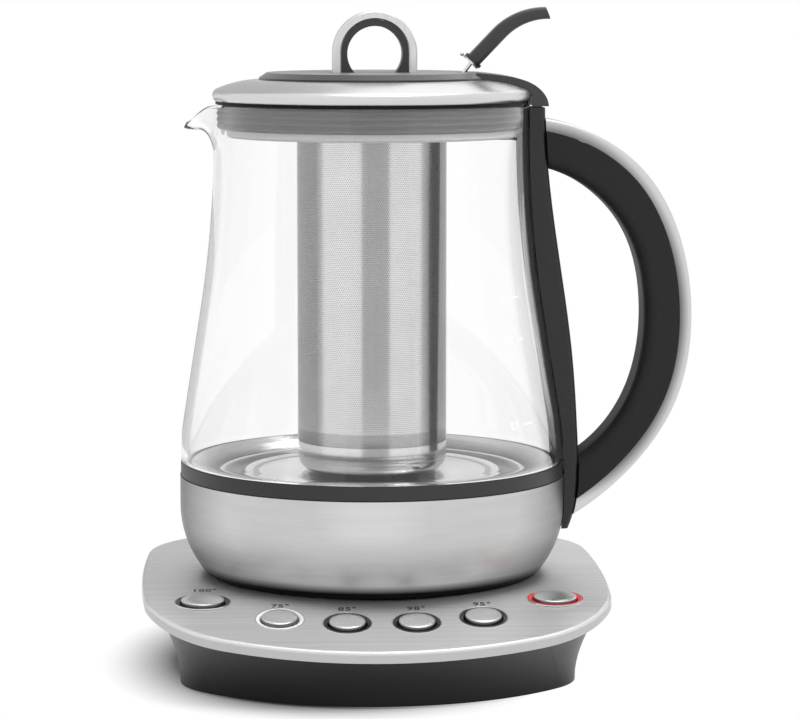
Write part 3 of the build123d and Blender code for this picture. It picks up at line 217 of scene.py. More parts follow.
def dress(material, *names):
    """CAD nodes get a material and smooth shading, with their shape as it is."""
    for name in names:
        node = NODES[name]
        for place in node.material_slots:
            place.material = material
        select_only(node)
        bpy.ops.object.shade_smooth_by_angle(angle=radians(NODE_SMOOTH))


# ---- shader helpers -----------------------------------------------------------
class Shader:
    """A node tree that is filled in by hand: add nodes, then join their sockets."""

    def __init__(self, tree):
        self.tree = tree

    def add(self, kind, *links, **values):
        """A node of that kind; links go into its first inputs, values into named settings."""
        node = self.tree.nodes.new("ShaderNode" + kind)
        for key, value in values.items():
            if hasattr(node, key):
                setattr(node, key, value)
            else:
                node.inputs[key.replace("_", " ")].default_value = value
        for place, link in enumerate(links):
            if link is not None:
                self.join(link, node.inputs[place])
        return node

    def join(self, source, target):
        """A link, or a plain value where the source is a number, colour or vector."""
        if isinstance(source, (int, float, tuple)):
            target.default_value = source
        else:
            self.tree.links.new(source, target)

    def math(self, operation, a, b=None):
        return self.add("Math", a, b, operation=operation).outputs[0]

    def scaled(self, vector, scale):
        """The vector times a scale for each axis."""
        return self.add("VectorMath", vector, scale, operation="MULTIPLY").outputs[0]

    def mixed(self, share, a, b):
        """One colour at share 0 and the other at 1."""
        node = self.add("Mix", data_type="RGBA")
        for name, value in (("Factor", share), ("A", a), ("B", b)):
            sockets = [s for s in node.inputs if s.name == name and s.enabled]
            self.join(value, sockets[0])
        return [s for s in node.outputs if s.enabled][0]

    def spread(self, value, low, high, new_low, new_high):
        """The value's range made over to a new one."""
        return self.add("MapRange", value, low, high, new_low, new_high).outputs[0]


def new_group(name, inputs, outputs):
    """An empty shader group with named inputs and outputs, and its two end nodes."""
    tree = bpy.data.node_groups.new(name, "ShaderNodeTree")
    for socket, kind, value in inputs:
        made = tree.interface.new_socket(socket, in_out="INPUT", socket_type="NodeSocket" + kind)
        if value is not None:
            made.default_value = value
    for socket, kind in outputs:
        tree.interface.new_socket(socket, in_out="OUTPUT", socket_type="NodeSocket" + kind)
    shader = Shader(tree)
    return shader, tree.nodes.new("NodeGroupInput").outputs, tree.nodes.new("NodeGroupOutput").inputs


def make_round_group():
    """Places that run round the jug's axis: X and Y turn slowly, Z counts across the brushing."""
    s, given, out = new_group(
        "round_the_axis",
        [("Vector", "Vector", None), ("Around", "Float", 6.0), ("Across", "Float", 2500.0)],
        [("Vector", "Vector"), ("Radius", "Float")],
    )
    local = s.add("VectorMath", given["Vector"], tuple(AXIS), operation="SUBTRACT").outputs[0]
    apart = s.add("SeparateXYZ", local).outputs
    flat = s.add("CombineXYZ", apart[0], apart[1], 0.0).outputs[0]
    radius = s.add("VectorMath", flat, operation="LENGTH").outputs["Value"]
    heading = s.add("VectorMath", flat, operation="NORMALIZE").outputs[0]
    turned = s.add("VectorMath", heading, operation="SCALE")
    s.join(given["Around"], turned.inputs["Scale"])
    height = s.math("MULTIPLY", s.math("ADD", apart[2], s.math("MULTIPLY", radius, 0.83)), given["Across"])
    lifted = s.add("CombineXYZ", 0.0, 0.0, height).outputs[0]
    s.join(s.add("VectorMath", turned.outputs[0], lifted, operation="ADD").outputs[0], out["Vector"])
    s.join(radius, out["Radius"])
    return s.tree


def make_brushing_group():
    """Brushed metal: fine lines over broader streaks, as a mask and as a normal."""
    s, given, out = new_group(
        "brushing",
        [("Vector", "Vector", None), ("Depth", "Float", 0.1), ("Amount", "Float", 1.0)],
        [("Streaks", "Float"), ("Normal", "Vector")],
    )
    fine = s.add("TexNoise", given["Vector"], Scale=1.0, Detail=3.0, Roughness=0.6).outputs["Fac"]
    slow = s.scaled(given["Vector"], (0.4, 0.4, 0.1))
    broad = s.add("TexNoise", slow, Scale=1.0, Detail=2.0).outputs["Fac"]
    streaks = s.math("ADD", s.math("MULTIPLY", fine, 0.5), s.math("MULTIPLY", broad, 0.5))
    level = s.math("SUBTRACT", s.spread(streaks, 0.3, 0.7, 0.0, 1.0), 0.5)
    level = s.math("MULTIPLY", level, given["Amount"])
    bump = s.add("Bump", Distance=0.0001)
    s.join(given["Depth"], bump.inputs["Strength"])
    s.join(s.math("MULTIPLY", fine, given["Amount"]), bump.inputs["Height"])
    s.join(s.math("ADD", level, 0.5), out["Streaks"])
    s.join(bump.outputs[0], out["Normal"])
    return s.tree


def make_handling_group():
    """Faint marks of handling: soft smudges and a few fine specks of dust."""
    s, given, out = new_group(
        "handling",
        [("Vector", "Vector", None), ("Size", "Float", 30.0)],
        [("Smudge", "Float"), ("Dust", "Float")],
    )
    smudge = s.add("TexNoise", given["Vector"], Detail=4.0, Roughness=0.55)
    s.join(given["Size"], smudge.inputs["Scale"])
    dust = s.add("TexVoronoi", given["Vector"], Scale=420.0).outputs["Distance"]
    s.join(s.spread(smudge.outputs["Fac"], 0.35, 0.65, 0.0, 1.0), out["Smudge"])
    s.join(s.spread(dust, 0.06, 0.1, 1.0, 0.0), out["Dust"])
    return s.tree


def make_moulding_group():
    """Moulded plastic or rubber: a fine grain, as a mask and as a normal."""
    s, given, out = new_group(
        "moulded_grain",
        [("Vector", "Vector", None), ("Size", "Float", 2500.0), ("Depth", "Float", 0.2)],
        [("Grain", "Float"), ("Normal", "Vector")],
    )
    grain = s.add("TexNoise", given["Vector"], Detail=2.0, Roughness=0.6)
    s.join(given["Size"], grain.inputs["Scale"])
    bump = s.add("Bump", Distance=0.0002)
    s.join(given["Depth"], bump.inputs["Strength"])
    s.join(grain.outputs["Fac"], bump.inputs["Height"])
    s.join(s.spread(grain.outputs["Fac"], 0.35, 0.65, 0.0, 1.0), out["Grain"])
    s.join(bump.outputs[0], out["Normal"])
    return s.tree


ROUND = make_round_group()
BRUSHING = make_brushing_group()
HANDLING = make_handling_group()
MOULDING = make_moulding_group()


def new_material(name, **sockets):
    """A material with a Principled shader; the named sockets get plain values."""
    material = bpy.data.materials.new(name)
    material.use_nodes = True
    shader = Shader(material.node_tree)
    principled = next(n for n in material.node_tree.nodes if n.type == "BSDF_PRINCIPLED")
    for key, value in sockets.items():
        principled.inputs[key.replace("_", " ")].default_value = value
    return material, shader, principled.inputs


def grey(level):
    """A neutral colour."""
    return (level, level, level, 1.0)


def object_place(s):
    """The point's place in the shared frame."""
    return s.add("TexCoord").outputs["Object"]


def by_height(low, high):
    """A shade that falls from full at the high level to none at the low one."""
    return lambda s: s.spread(s.add("SeparateXYZ", object_place(s)).outputs[2], low, high, 0.0, 1.0)


def by_facing(low, high, least):
    """A shade that falls to the least where the surface turns away."""
    return lambda s: s.spread(s.add("LayerWeight", Blend=0.5).outputs["Facing"], low, high, 1.0, least)


def by_level(low, high, least):
    """A shade that is full on level faces and least on upright ones."""

    def shade(s):
        up = s.add("SeparateXYZ", s.add("TexCoord").outputs["Normal"]).outputs[2]
        return s.spread(up, low, high, least, 1.0)

    return shade


def by_ring(radius, half_width, least):
    """A shade that is least in a ring round the jug's axis."""

    def shade(s):
        place = s.add("Group", object_place(s), node_tree=ROUND).outputs["Radius"]
        apart = s.math("ABSOLUTE", s.math("SUBTRACT", place, radius))
        return s.spread(apart, half_width - 0.0004, half_width + 0.0004, least, 1.0)

    return shade


def wall_shade(radius, low, high):
    """A shade that darkens the foot of a wall that stands outside a radius."""

    def shade(s):
        place = s.add("Group", object_place(s), node_tree=ROUND).outputs["Radius"]
        inside = s.spread(place, radius - 0.0005, radius + 0.0005, 1.0, 0.0)
        up = s.spread(s.add("SeparateXYZ", object_place(s)).outputs[2], low, high, 0.22, 1.0)
        return s.math("MAXIMUM", inside, up)

    return shade


def brushed_steel(name, dark, light, rough, vector, depth=0.06, shades=(), level_only=False, **sockets):
    """Brushed steel whose lines follow the vector that the given function makes."""
    material, s, into = new_material(name, **{"Metallic": 1.0, **sockets})
    brushing = s.add("Group", node_tree=BRUSHING, Depth=depth)
    s.join(vector(s), brushing.inputs["Vector"])
    if level_only:
        s.join(by_level(0.75, 0.93, 0.12)(s), brushing.inputs["Amount"])
    handling = s.add("Group", object_place(s), node_tree=HANDLING)
    colour = s.mixed(brushing.outputs["Streaks"], grey(dark), grey(light))
    # painted shade: each shade darkens the colour towards near black
    for shade in shades:
        colour = s.mixed(shade(s), grey(0.008), colour)
    s.join(colour, into["Base Color"])
    base = s.spread(brushing.outputs["Streaks"], 0.0, 1.0, rough + 0.04, rough - 0.04)
    s.join(s.math("ADD", base, s.math("MULTIPLY", handling.outputs["Smudge"], 0.04)), into["Roughness"])
    s.join(brushing.outputs["Normal"], into["Normal"])
    return material


def round_lines(around, across):
    """Lines that run round the jug's axis."""

    def vector(s):
        node = s.add("Group", object_place(s), node_tree=ROUND, Around=around, Across=across)
        return node.outputs["Vector"]

    return vector


def strap_place(s):
    """How far out a point lies on the handle's oval, 1 at its outside, and the place across it."""
    low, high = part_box("handle_strap")
    middle = (high.x - STRAP_MIDDLE, AXIS.y, (low.z + high.z) / 2 + STRAP_RISE)
    place = s.add("VectorMath", object_place(s), middle, operation="SUBTRACT").outputs[0]
    share = s.scaled(place, (1 / STRAP_RADII[0], 0.0, 1 / STRAP_RADII[1]))
    out = s.add("VectorMath", share, operation="LENGTH").outputs["Value"]
    return out, s.add("SeparateXYZ", place).outputs[1]


def strap_lines(s):
    """Lines that follow the handle's oval."""
    out, across = strap_place(s)
    out, across = s.math("MULTIPLY", out, 160.0), s.math("MULTIPLY", across, 1500.0)
    return s.add("CombineXYZ", out, across, 0.0).outputs[0]


def painted_strap_shade(s):
    """A painted shade that deepens towards the grip."""
    return s.spread(strap_place(s)[0], 0.932, 0.985, 0.3, 1.0)


def straight_lines(*scale):
    """Lines along the axis with the smallest scale."""
    return lambda s: s.scaled(object_place(s), scale)


def moulded(name, dark, light, rough, size=2500.0, depth=0.1, dust=0.0, edge=None, low=None, **sockets):
    """Moulded plastic or rubber with a fine grain and the marks of handling.

    The edge is a painted highlight, a lighter grey where the surface turns away, between two facings;
    between the two low levels the colour falls into painted shade, darker towards the table."""
    material, s, into = new_material(name, **sockets)
    group = s.add("Group", object_place(s), node_tree=MOULDING, Size=size, Depth=depth)
    handling = s.add("Group", object_place(s), node_tree=HANDLING)
    colour = s.mixed(group.outputs["Grain"], dark, light)
    if dust:
        colour = s.mixed(s.math("MULTIPLY", handling.outputs["Dust"], dust), colour, grey(0.2))
    # painted highlight: the edge grey lightens the colour where the surface turns away
    if edge:
        colour = s.mixed(by_facing(*edge[1:], 0.0)(s), grey(edge[0]), colour)
    # painted shade: the colour falls to near black between the low levels, near the table
    if low:
        colour = s.mixed(by_height(*low)(s), grey(0.002), colour)
    s.join(colour, into["Base Color"])
    s.join(s.spread(handling.outputs["Smudge"], 0.0, 1.0, rough - 0.03, rough + 0.05), into["Roughness"])
    s.join(group.outputs["Normal"], into["Normal"])
    return material


def clear_glass():
    """Clear jug glass."""
    return new_material(
        "clear_jug_glass",
        Base_Color=(0.995, 0.996, 0.996, 1.0),
        Roughness=0.0,
        IOR=1.47,
        Transmission_Weight=1.0,
    )[0]


def pierced_steel():
    """The infuser's steel, pierced all over with fine holes in staggered rows."""
    material, s, into = new_material("pierced_steel", Metallic=1.0)
    place = s.add("VectorMath", object_place(s), tuple(AXIS), operation="SUBTRACT").outputs[0]
    apart = s.add("SeparateXYZ", place).outputs
    turn = s.math("ARCTAN2", apart[1], apart[0])
    across = s.math("MULTIPLY", turn, HOLES_ROUND / (2 * pi))
    up = s.math("MULTIPLY", apart[2], 1 / HOLE_ROWS)
    row = s.math("FLOOR", up)
    offset = s.math("MULTIPLY", s.math("MODULO", row, 2.0), 0.5)
    x = s.math("SUBTRACT", s.math("FRACT", s.math("ADD", across, offset)), 0.5)
    y = s.math("SUBTRACT", s.math("FRACT", up), 0.5)
    reach = s.math("SQRT", s.math("ADD", s.math("MULTIPLY", x, x), s.math("MULTIPLY", y, y)))
    metal = s.spread(reach, 0.2, 0.34, 0.0, 1.0)
    handling = s.add("Group", object_place(s), node_tree=HANDLING, Size=60.0)
    steel = s.mixed(handling.outputs["Smudge"], grey(0.73), grey(0.78))
    border_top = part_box("infuser_tube")[0].z + TUBE_BORDER
    border = s.spread(apart[2], border_top, border_top + 0.0006, 0.55, 0.0)
    steel = s.mixed(border, steel, grey(0.3))
    colour = s.mixed(metal, grey(0.3), steel)
    # painted reflection: dark bands down the tube's sides, where it turns away from the eye
    for shade in (by_facing(0.22, 0.34, 0.52), by_facing(0.6, 0.86, 0.66)):
        colour = s.mixed(shade(s), grey(0.0), colour)
    s.join(colour, into["Base Color"])
    s.join(s.spread(metal, 0.0, 1.0, 0.3, 0.14), into["Roughness"])
    return material


# ---- the pieces ---------------------------------------------------------------
def glass_body():
    """The jug's glass: turned, with its lip drawn out and down to a spout."""
    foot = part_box("jug_seal_band")[1].z
    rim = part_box("glass_jug")[1].z
    start = (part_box("glass_jug")[1].x - AXIS.x, foot)
    shoulder = arc_rings(start, 90, GLASS_SHOULDER, GLASS_LEAN, 6)
    sweep_radius = NECK_RADIUS + NECK_SWEEP * (1 - cos(radians(GLASS_LEAN)))
    length = (shoulder[-1][0] - sweep_radius) / sin(radians(GLASS_LEAN))
    sweep_start = (sweep_radius, shoulder[-1][1] + length * cos(radians(GLASS_LEAN)))
    cone = line_rings(shoulder[-1], sweep_start, 8)
    sweep = arc_rings(sweep_start, 90 + GLASS_LEAN, NECK_SWEEP, -GLASS_LEAN, 36)
    neck = line_rings(sweep[-1], (NECK_RADIUS, rim), 8)
    piece = turn_up("jug_glass_body", [start] + shoulder + cone + sweep + neck, 256)
    lip = AXIS.x - NECK_RADIUS

    def near_lip(within, below, beside):
        """The glass about the place of the spout: how far in, how far down and how far to each side."""
        return lambda p: p.x < lip + within and p.z > rim - below and abs(p.y - AXIS.y) < beside

    select_where(piece, "vertices", near_lip(0.001, 0.0001, 0.0033))
    pull((-SPOUT_DRAW, 0, 0), "SHARP", SPOUT_SPREAD)
    select_where(piece, "vertices", near_lip(-0.001, 0.0001, 0.0005))
    pull((0, 0, -SPOUT_DROP), "SMOOTH", SPOUT_DIP)
    select_where(piece, "vertices", near_lip(0.004, 0.026, 0.022))
    bpy.ops.mesh.vertices_smooth(factor=0.5, repeat=6)
    bpy.ops.object.mode_set(mode="OBJECT")
    add_modifier(piece, "SOLIDIFY", thickness=GLASS_WALL, offset=-1, use_even_offset=True)
    add_modifier(piece, "BEVEL", width=0.0008, segments=3, limit_method="ANGLE", angle_limit=radians(50))
    return finish_piece(piece, clear_glass(), "jug", ["glass_jug"], 50)


def steel_bottom(material):
    """The jug's steel bottom: one full curve up to a straight top."""
    low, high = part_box("jug_shell")
    radius = (high.x - low.x) / 2
    turn = degrees(asin((high.z - SHELL_UPRIGHT - low.z) / SHELL_BELLY))
    foot = (radius - SHELL_BELLY * (1 - cos(radians(turn))), low.z)
    belly = arc_rings(foot, 90 - turn, SHELL_BELLY, turn, 24)
    piece = turn_up("jug_steel_bottom", [foot] + belly + line_rings(belly[-1], (radius, high.z), 4), 256)
    add_modifier(piece, "SOLIDIFY", thickness=SHELL_WALL, offset=-1, use_even_offset=True)
    return finish_piece(piece, material, "jug", ["jug_shell"])


def lid_dome(material):
    """The steel top of the lid, with its rolled edge."""
    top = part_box("lid_dome")[1].z
    slope = arc_rings((DOME_FLAT, top), 0, DOME_CROWN, -DOME_FALL, 12)
    roll = arc_rings(slope[-1], -DOME_FALL, DOME_ROLL, -DOME_ROLL_ARC, 16)
    piece = turn_up("lid_steel_dome", [(0.0225, top), (DOME_FLAT, top)] + slope + roll, 256)
    add_modifier(piece, "SOLIDIFY", thickness=DOME_WALL, offset=-1, use_even_offset=True)
    return finish_piece(piece, material, "lid", ["lid_dome"])


def heater(material):
    """The jug's pressed steel floor: a deep gutter, a ridge, a channel and a flat middle."""
    low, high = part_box("heater_plate")
    rim, level = (high.x - low.x) / 2, high.z - HEATER_RIDGE
    wall_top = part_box("jug_seal_band")[1].z - 0.0001
    rings = [(rim - 0.0002, wall_top), (rim - 0.0014, wall_top - 0.0022)]
    rings += [(rim - inwards, level + up) for inwards, up in HEATER_STEPS]
    piece = turn_up("jug_floor_plate", rings + [(0.02, level), (0.001, level)], 192)
    select_where(piece, "vertices", lambda p: (p - AXIS).xy.length < 0.0011)
    bpy.ops.mesh.merge(type="CENTER")
    bpy.ops.object.mode_set(mode="OBJECT")
    add_modifier(piece, "BEVEL", width=0.0006, segments=3, limit_method="ANGLE", angle_limit=radians(12))
    add_modifier(piece, "SOLIDIFY", thickness=0.0006, offset=-1)
    return finish_piece(piece, material, "jug", ["heater_plate"], 50)


def infuser(mesh_steel, plain_steel):
    """The pierced tube, and the closed cup with its rolled seam and rounded bottom."""
    low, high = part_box("infuser_tube")
    wall = INFUSER_RADIUS - INFUSER_WALL
    outside = line_rings((INFUSER_RADIUS, low.z), (INFUSER_RADIUS, high.z), 6)
    tube = turn_up(
        "infuser_pierced_tube",
        [(wall, low.z), (INFUSER_RADIUS, low.z), *outside, (wall, high.z), (wall, low.z)],
        256,
    )
    finish_piece(tube, mesh_steel, "infuser", ["infuser_tube"])
    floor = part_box("infuser_cup")[0].z
    seam = floor + CUP_SEAM
    bottom = [(0.001, floor), (INFUSER_RADIUS - CUP_SEAM, floor)]
    bottom += arc_rings(bottom[-1], 0, CUP_BEND, 90, 10)
    sides = [(INFUSER_RADIUS - 0.0004, seam), (INFUSER_RADIUS, seam + 0.0003), (INFUSER_RADIUS, low.z)]
    inside = [(wall - 0.0001, low.z), (wall - 0.0001, low.z + 0.003), (wall - 0.0007, low.z + 0.003)]
    inside += [(wall - 0.0007, seam), (wall - 0.004, floor + 0.0008), (0.001, floor + 0.0008)]
    cup = turn_up("infuser_closed_cup", bottom + sides + inside, 192, closed=True)
    add_modifier(cup, "BEVEL", width=0.00015, segments=2, limit_method="ANGLE", angle_limit=radians(40))
    finish_piece(cup, plain_steel, "infuser", ["infuser_cup"], 40)


def silicone_seal(material):
    """The plug's silicone seal: a soft wall with four rounded lips."""
    low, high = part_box("lid_seal")
    outer = (high.x - low.x) / 2
    inner = outer - 0.002
    pitch = (high.z - low.z) / 4
    rings = [(inner, low.z)]
    for lip in range(4):
        base = low.z + pitch * lip
        rings += [(outer - 0.0008, base + 0.0002), (outer - 0.0002, base + 0.0005), (outer, base + 0.0010)]
        rings += [(outer - 0.0002, base + 0.0015), (outer - 0.0009, base + 0.0019)]
    rings += [(outer - 0.0009, high.z), (inner, high.z), (inner, low.z)]
    piece = turn_up("lid_silicone_seal", rings, 192)
    return finish_piece(piece, material, "lid", ["lid_seal"], 50)


def panel_slope(y):
    """The panel's slope at a place along Y from the jug's axis, in radians."""
    return asin(min(max((BEND_Y - y) / BEND_RADIUS, 0), sin(radians(PANEL_SLOPE))))


def panel_height(y):
    """The panel's height at that place."""
    slope = panel_slope(y)
    bend_end = BEND_Y - BEND_RADIUS * sin(slope)
    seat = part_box("base_top_plate")[1].z
    return seat - BEND_RADIUS * (1 - cos(slope)) - (bend_end - y) * tan(slope)


def lay_on_panel(piece, x, y, lift=0.0):
    """A piece made upright about the world's origin is laid on the panel."""
    slope = panel_slope(y)
    piece.rotation_euler = (slope, 0, 0)
    piece.location = AXIS + Vector((x, y, panel_height(y))) + Vector((0, -sin(slope), cos(slope))) * lift
    select_only(piece)
    bpy.ops.object.transform_apply(location=True, rotation=True, scale=True)


def buttons(cap_steel, edge_steel, plastic):
    """Six steel caps with their light rings, and a fine turned edge round each hole of the plate."""
    for name, (x, y, reach, _) in BUTTONS.items():
        cap = reach - RING_WIDTH - BUTTON_GAP
        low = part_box("button_" + name)[0].z - panel_height(y)
        crown = [(cap * share, BUTTON_PROUD - 0.0001 - 0.0004 * share**2) for share in (0.9, 0.7, 0.45, 0.2)]
        rings = [(0.002, low * 0.96), (0.002, -0.002), (cap - 0.001, -0.002), (cap - 0.001, -0.003)]
        rings += [(cap, -0.003), (cap, BUTTON_PROUD - 0.0011), (cap - 0.0002, BUTTON_PROUD - 0.0007), *crown]
        piece = turn_up("cap_" + name, rings, 96, (0, 0), closed=True)
        add_modifier(piece, "BEVEL", width=0.0002, segments=2, limit_method="ANGLE", angle_limit=radians(30))
        lay_on_panel(piece, x, y)
        finish_piece(piece, cap_steel, "button_" + name, ["button_" + name], 40)

        inner, top = reach - RING_WIDTH, 0.0002
        rings = [(inner, -0.0055), (reach + 0.001, -0.0055), (reach + 0.001, -0.0042), (reach, -0.0042)]
        rings += [(reach, top - 0.0002), (reach - 0.0003, top)]
        rings += [(inner + 0.0003, top - 0.0003), (inner, top - 0.0006)]
        light = turn_up("light_ring_of_" + name, rings + rings[:1], 96, (0, 0))
        lay_on_panel(light, x, y)
        node = {"green": "light_ring_green", "power": "light_ring_power"}.get(name, "light_rings")
        slot = {"green": "ring_white", "power": "ring_red"}.get(name, "ring_dark")
        finish_piece(light, plastic[slot], "base", [node], 40)

        edge = [(reach + 0.0001, -0.0007), (reach + 0.0001, 0.00002), (reach + 0.0003, 0.00012)]
        edge += [(reach + 0.0006, 0.00008), (reach + 0.0007, -0.0002)]
        hole = turn_up("hole_edge_" + name, edge + edge[:1], 96, (0, 0))
        lay_on_panel(hole, x, y)
        finish_piece(hole, edge_steel, "base", (), 60)


def panel_numbers(ink):
    """A temperature behind each tea button and the boiling one.

    The one on the flat stands further back and is longer, so that it can be read from the front."""
    for name, (x, y, reach, number) in BUTTONS.items():
        if not number:
            continue
        on_slope = y < BEND_Y - 0.015
        select_only()
        bpy.ops.object.text_add(location=(0, 0, 0))
        text = bpy.context.object
        text.name = "number_" + name
        text.data.body = number
        text.data.align_x, text.data.align_y = "CENTER", "CENTER"
        text.data.size = 0.0051
        text.data.space_character = 1.12
        text.data.offset = 0.00013
        text.data.resolution_u = 3
        text.scale = (0.92, 1 if on_slope else 1.5, 1)
        select_only(text)
        bpy.ops.object.convert(target="MESH")
        lay_on_panel(text, x + 0.0004, y + reach + (0.0034 if on_slope else 0.0100), 0.00006)
        finish_piece(text, ink, "base", ())


def plug_catch(material):
    """The small catch under the plug, on the handle's side."""
    edge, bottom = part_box("lid_skirt")[1].x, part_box("lid_skirt")[0].z
    select_only()
    bpy.ops.mesh.primitive_cube_add(size=1, location=(edge - 0.0060, AXIS.y, bottom - 0.0007))
    piece = bpy.context.object
    piece.name = "plug_catch"
    piece.scale = (0.0085, 0.007, 0.0016)
    bpy.ops.object.transform_apply(location=True, rotation=True, scale=True)
    select_where(piece, "polygons", lambda p: p.x > edge - 0.0022)
    bpy.ops.mesh.extrude_region_move(TRANSFORM_OT_translate={"value": (0.0022, 0, -0.0006)})
    bpy.ops.transform.resize(value=(1, 0.8, 0.8))
    add_modifier(piece, "BEVEL", width=0.0004, segments=3, limit_method="ANGLE", angle_limit=radians(25))
    return finish_piece(piece, material, "lid", (), 45)


def level_marks(paint, glass):
    """Three small white level marks on the right of the glass, each with its number."""
    for name, height, turn, width, number in LEVELS:
        around = radians(turn)
        place = AXIS + Vector((LEVEL_RADIUS * cos(around), LEVEL_RADIUS * sin(around), height))
        select_only()
        bpy.ops.mesh.primitive_grid_add(x_subdivisions=12, y_subdivisions=1, size=1)
        mark = bpy.context.object
        mark.scale = (width, 0.0005, 1)
        select_only()
        bpy.ops.object.text_add()
        text = bpy.context.object
        text.data.body, text.data.size = number, 0.0046
        text.data.align_x, text.data.align_y = "RIGHT", "CENTER"
        text.data.offset = -0.00006
        text.data.resolution_u = 3
        select_only(text)
        bpy.ops.object.convert(target="MESH")
        for piece, label, side in ((mark, "level_mark_", 0.0), (text, "level_number_", -0.0058)):
            piece.name = label + name
            piece.rotation_euler = (pi / 2, 0, around + pi / 2)
            piece.location = place + Vector((-sin(around), cos(around), 0)) * side
            select_only(piece)
            bpy.ops.object.transform_apply(location=True, rotation=True, scale=True)
            add_modifier(
                piece, "SHRINKWRAP", target=glass, wrap_method="NEAREST_SURFACEPOINT", offset=0.00006
            )
            finish_piece(piece, paint, "jug", ())


# ---- floor, light and camera --------------------------------------------------
def seen(s):
    """1 for what the camera, a reflection or clear glass sees, and 0 for what only gets light."""
    path = s.add("LightPath").outputs
    passed_on = s.math("MAXIMUM", path["Is Glossy Ray"], path["Is Transmission Ray"])
    return s.math("MAXIMUM", path["Is Camera Ray"], passed_on)


def studio_floor():
    """A pale floor that keeps the object's shadow, with a painted shadow about the base, more to its left,
    and turns white further out.
    """
    select_only()
    bpy.ops.mesh.primitive_plane_add(size=12, location=(0, 0, 0))
    floor = bpy.context.object
    floor.name = "studio_floor"
    material = bpy.data.materials.new("studio_floor")
    material.use_nodes = True
    material.node_tree.nodes.clear()
    s = Shader(material.node_tree)
    # painted shadow: a darker floor colour near the base, the patch moved to its left and stretched to the
    # front and back
    place = s.add("VectorMath", object_place(s), (0.035, 0.0, 0.0), operation="ADD").outputs[0]
    distance = s.add("VectorMath", s.scaled(place, (1.0, 0.73, 0.0)), operation="LENGTH").outputs["Value"]
    fade = s.spread(distance, 0.062, 0.092, 0.0, 1.0)
    diffuse = s.add("BsdfDiffuse", s.mixed(fade, grey(0.4), grey(0.92)))
    white = s.add("Emission", grey(1.0), 1.0)
    mix = s.add("MixShader", s.math("MULTIPLY", seen(s), fade), diffuse.outputs[0], white.outputs[0])
    s.add("OutputMaterial", mix.outputs[0])
    floor.data.materials.append(material)


def studio_world():
    """An even pale surround: white to the eye and in reflections, softer as light."""
    world = bpy.data.worlds.new("studio")
    bpy.context.scene.world = world
    world.use_nodes = True
    world.node_tree.nodes.clear()
    s = Shader(world.node_tree)
    strength = s.spread(seen(s), 0.0, 1.0, 0.55, 1.0)
    s.add("OutputWorld", s.add("Background", grey(1.0), strength).outputs[0])


def softbox(name, place, aim, width, height, power):
    """A large soft lamp, turned to a point; it lights the object but isn't mirrored in it."""
    lamp = bpy.data.lights.new(name, "AREA")
    lamp.shape = "RECTANGLE"
    lamp.size, lamp.size_y = width, height
    lamp.energy = power
    holder = bpy.data.objects.new(name, lamp)
    bpy.context.scene.collection.objects.link(holder)
    holder.location = place
    holder.rotation_euler = (Vector(aim) - Vector(place)).to_track_quat("-Z", "Y").to_euler()
    holder.visible_glossy = False


def card(name, place, aim, width, height, level, glossy=True, mirrored=False):
    """A grey card that only reflections see, or only what is seen through the glass.

    One that is mirrored shows through the glass only in what is reflected behind it."""
    select_only()
    bpy.ops.mesh.primitive_plane_add(size=1, location=place)
    panel = bpy.context.object
    panel.name = name
    panel.scale = (width, height, 1)
    panel.rotation_euler = (Vector(aim) - Vector(place)).to_track_quat("Z", "Y").to_euler()
    material = bpy.data.materials.new(name)
    material.use_nodes = True
    material.node_tree.nodes.clear()
    s = Shader(material.node_tree)
    light = s.add("Emission", grey(level), 1.0)
    if mirrored:
        bounced = s.math("GREATER_THAN", s.add("LightPath").outputs["Glossy Depth"], 0.5)
        light = s.add("MixShader", bounced, s.add("BsdfTransparent").outputs[0], light.outputs[0])
    s.add("OutputMaterial", light.outputs[0])
    panel.data.materials.append(material)
    panel.visible_camera = panel.visible_diffuse = panel.visible_shadow = False
    panel.visible_glossy = glossy
    panel.visible_transmission = not glossy


def wall_of_cards(name, first, last, level, high, glossy=False, mirrored=False):
    """Upright cards side by side round the object, between two bearings from the camera's side."""
    count = max(1, round(abs(last - first) / 15))
    step = (last - first) / count
    for number in range(count):
        bearing = radians(first + step * (number + 0.5) - CAMERA_BEARING)
        place = AXIS + Vector((sin(bearing), -cos(bearing), 0)) * 0.7 + Vector((0, 0, high / 2 - 0.01))
        width = 1.4 * tan(radians(abs(step) / 2)) * 1.01
        card(f"{name}_{number}", place, (AXIS.x, AXIS.y, place.z), width, high, level, glossy, mirrored)


def studio_lights():
    """Three soft lamps, the cards seen in the glass and the cards mirrored in the steel."""
    middle = (AXIS.x, AXIS.y, 0.12)
    softbox("softbox_left", (-1.2, -1.3, 1.3), middle, 1.0, 1.0, 8)
    softbox("softbox_right", (1.3, -0.7, 1.5), middle, 0.9, 0.9, 28)
    softbox("softbox_top", (0.5, 0.3, 1.9), middle, 1.0, 1.0, 18)
    wall_of_cards("inside_front", -15, 26, 0.5, 1.0, mirrored=True)
    wall_of_cards("inside_bright_left", -81, -15, 1.05, 1.0, mirrored=True)
    wall_of_cards("inside_bright_right", 26, 81, 1.05, 1.0, mirrored=True)
    wall_of_cards("inside_dark_left", -158, -81, 0.78, 0.6)
    wall_of_cards("inside_dark_right", 81, 158, 0.72, 0.6)
    wall_of_cards("edge_left", -174, -136, 0.45, 0.16, True)
    wall_of_cards("edge_right", 136, 174, 0.45, 0.16, True)
    card("card_back_left", (-0.46, 1.02, 0.90), (0.0, 0, 0.25), 1.0, 1.1, 0.55)
    card("card_low_back", (0.25, 1.40, 0.40), (0.0, 0, 0.3), 2.1, 0.5, 0.58)
    card("card_high_back", (0.35, 0.95, 1.10), (0.0, 0, 0.2), 0.9, 0.8, 1.3)
    card("card_overhead", (0.15, -0.05, 1.5), (0.0, 0, 0.2), 1.2, 0.9, 2.6)


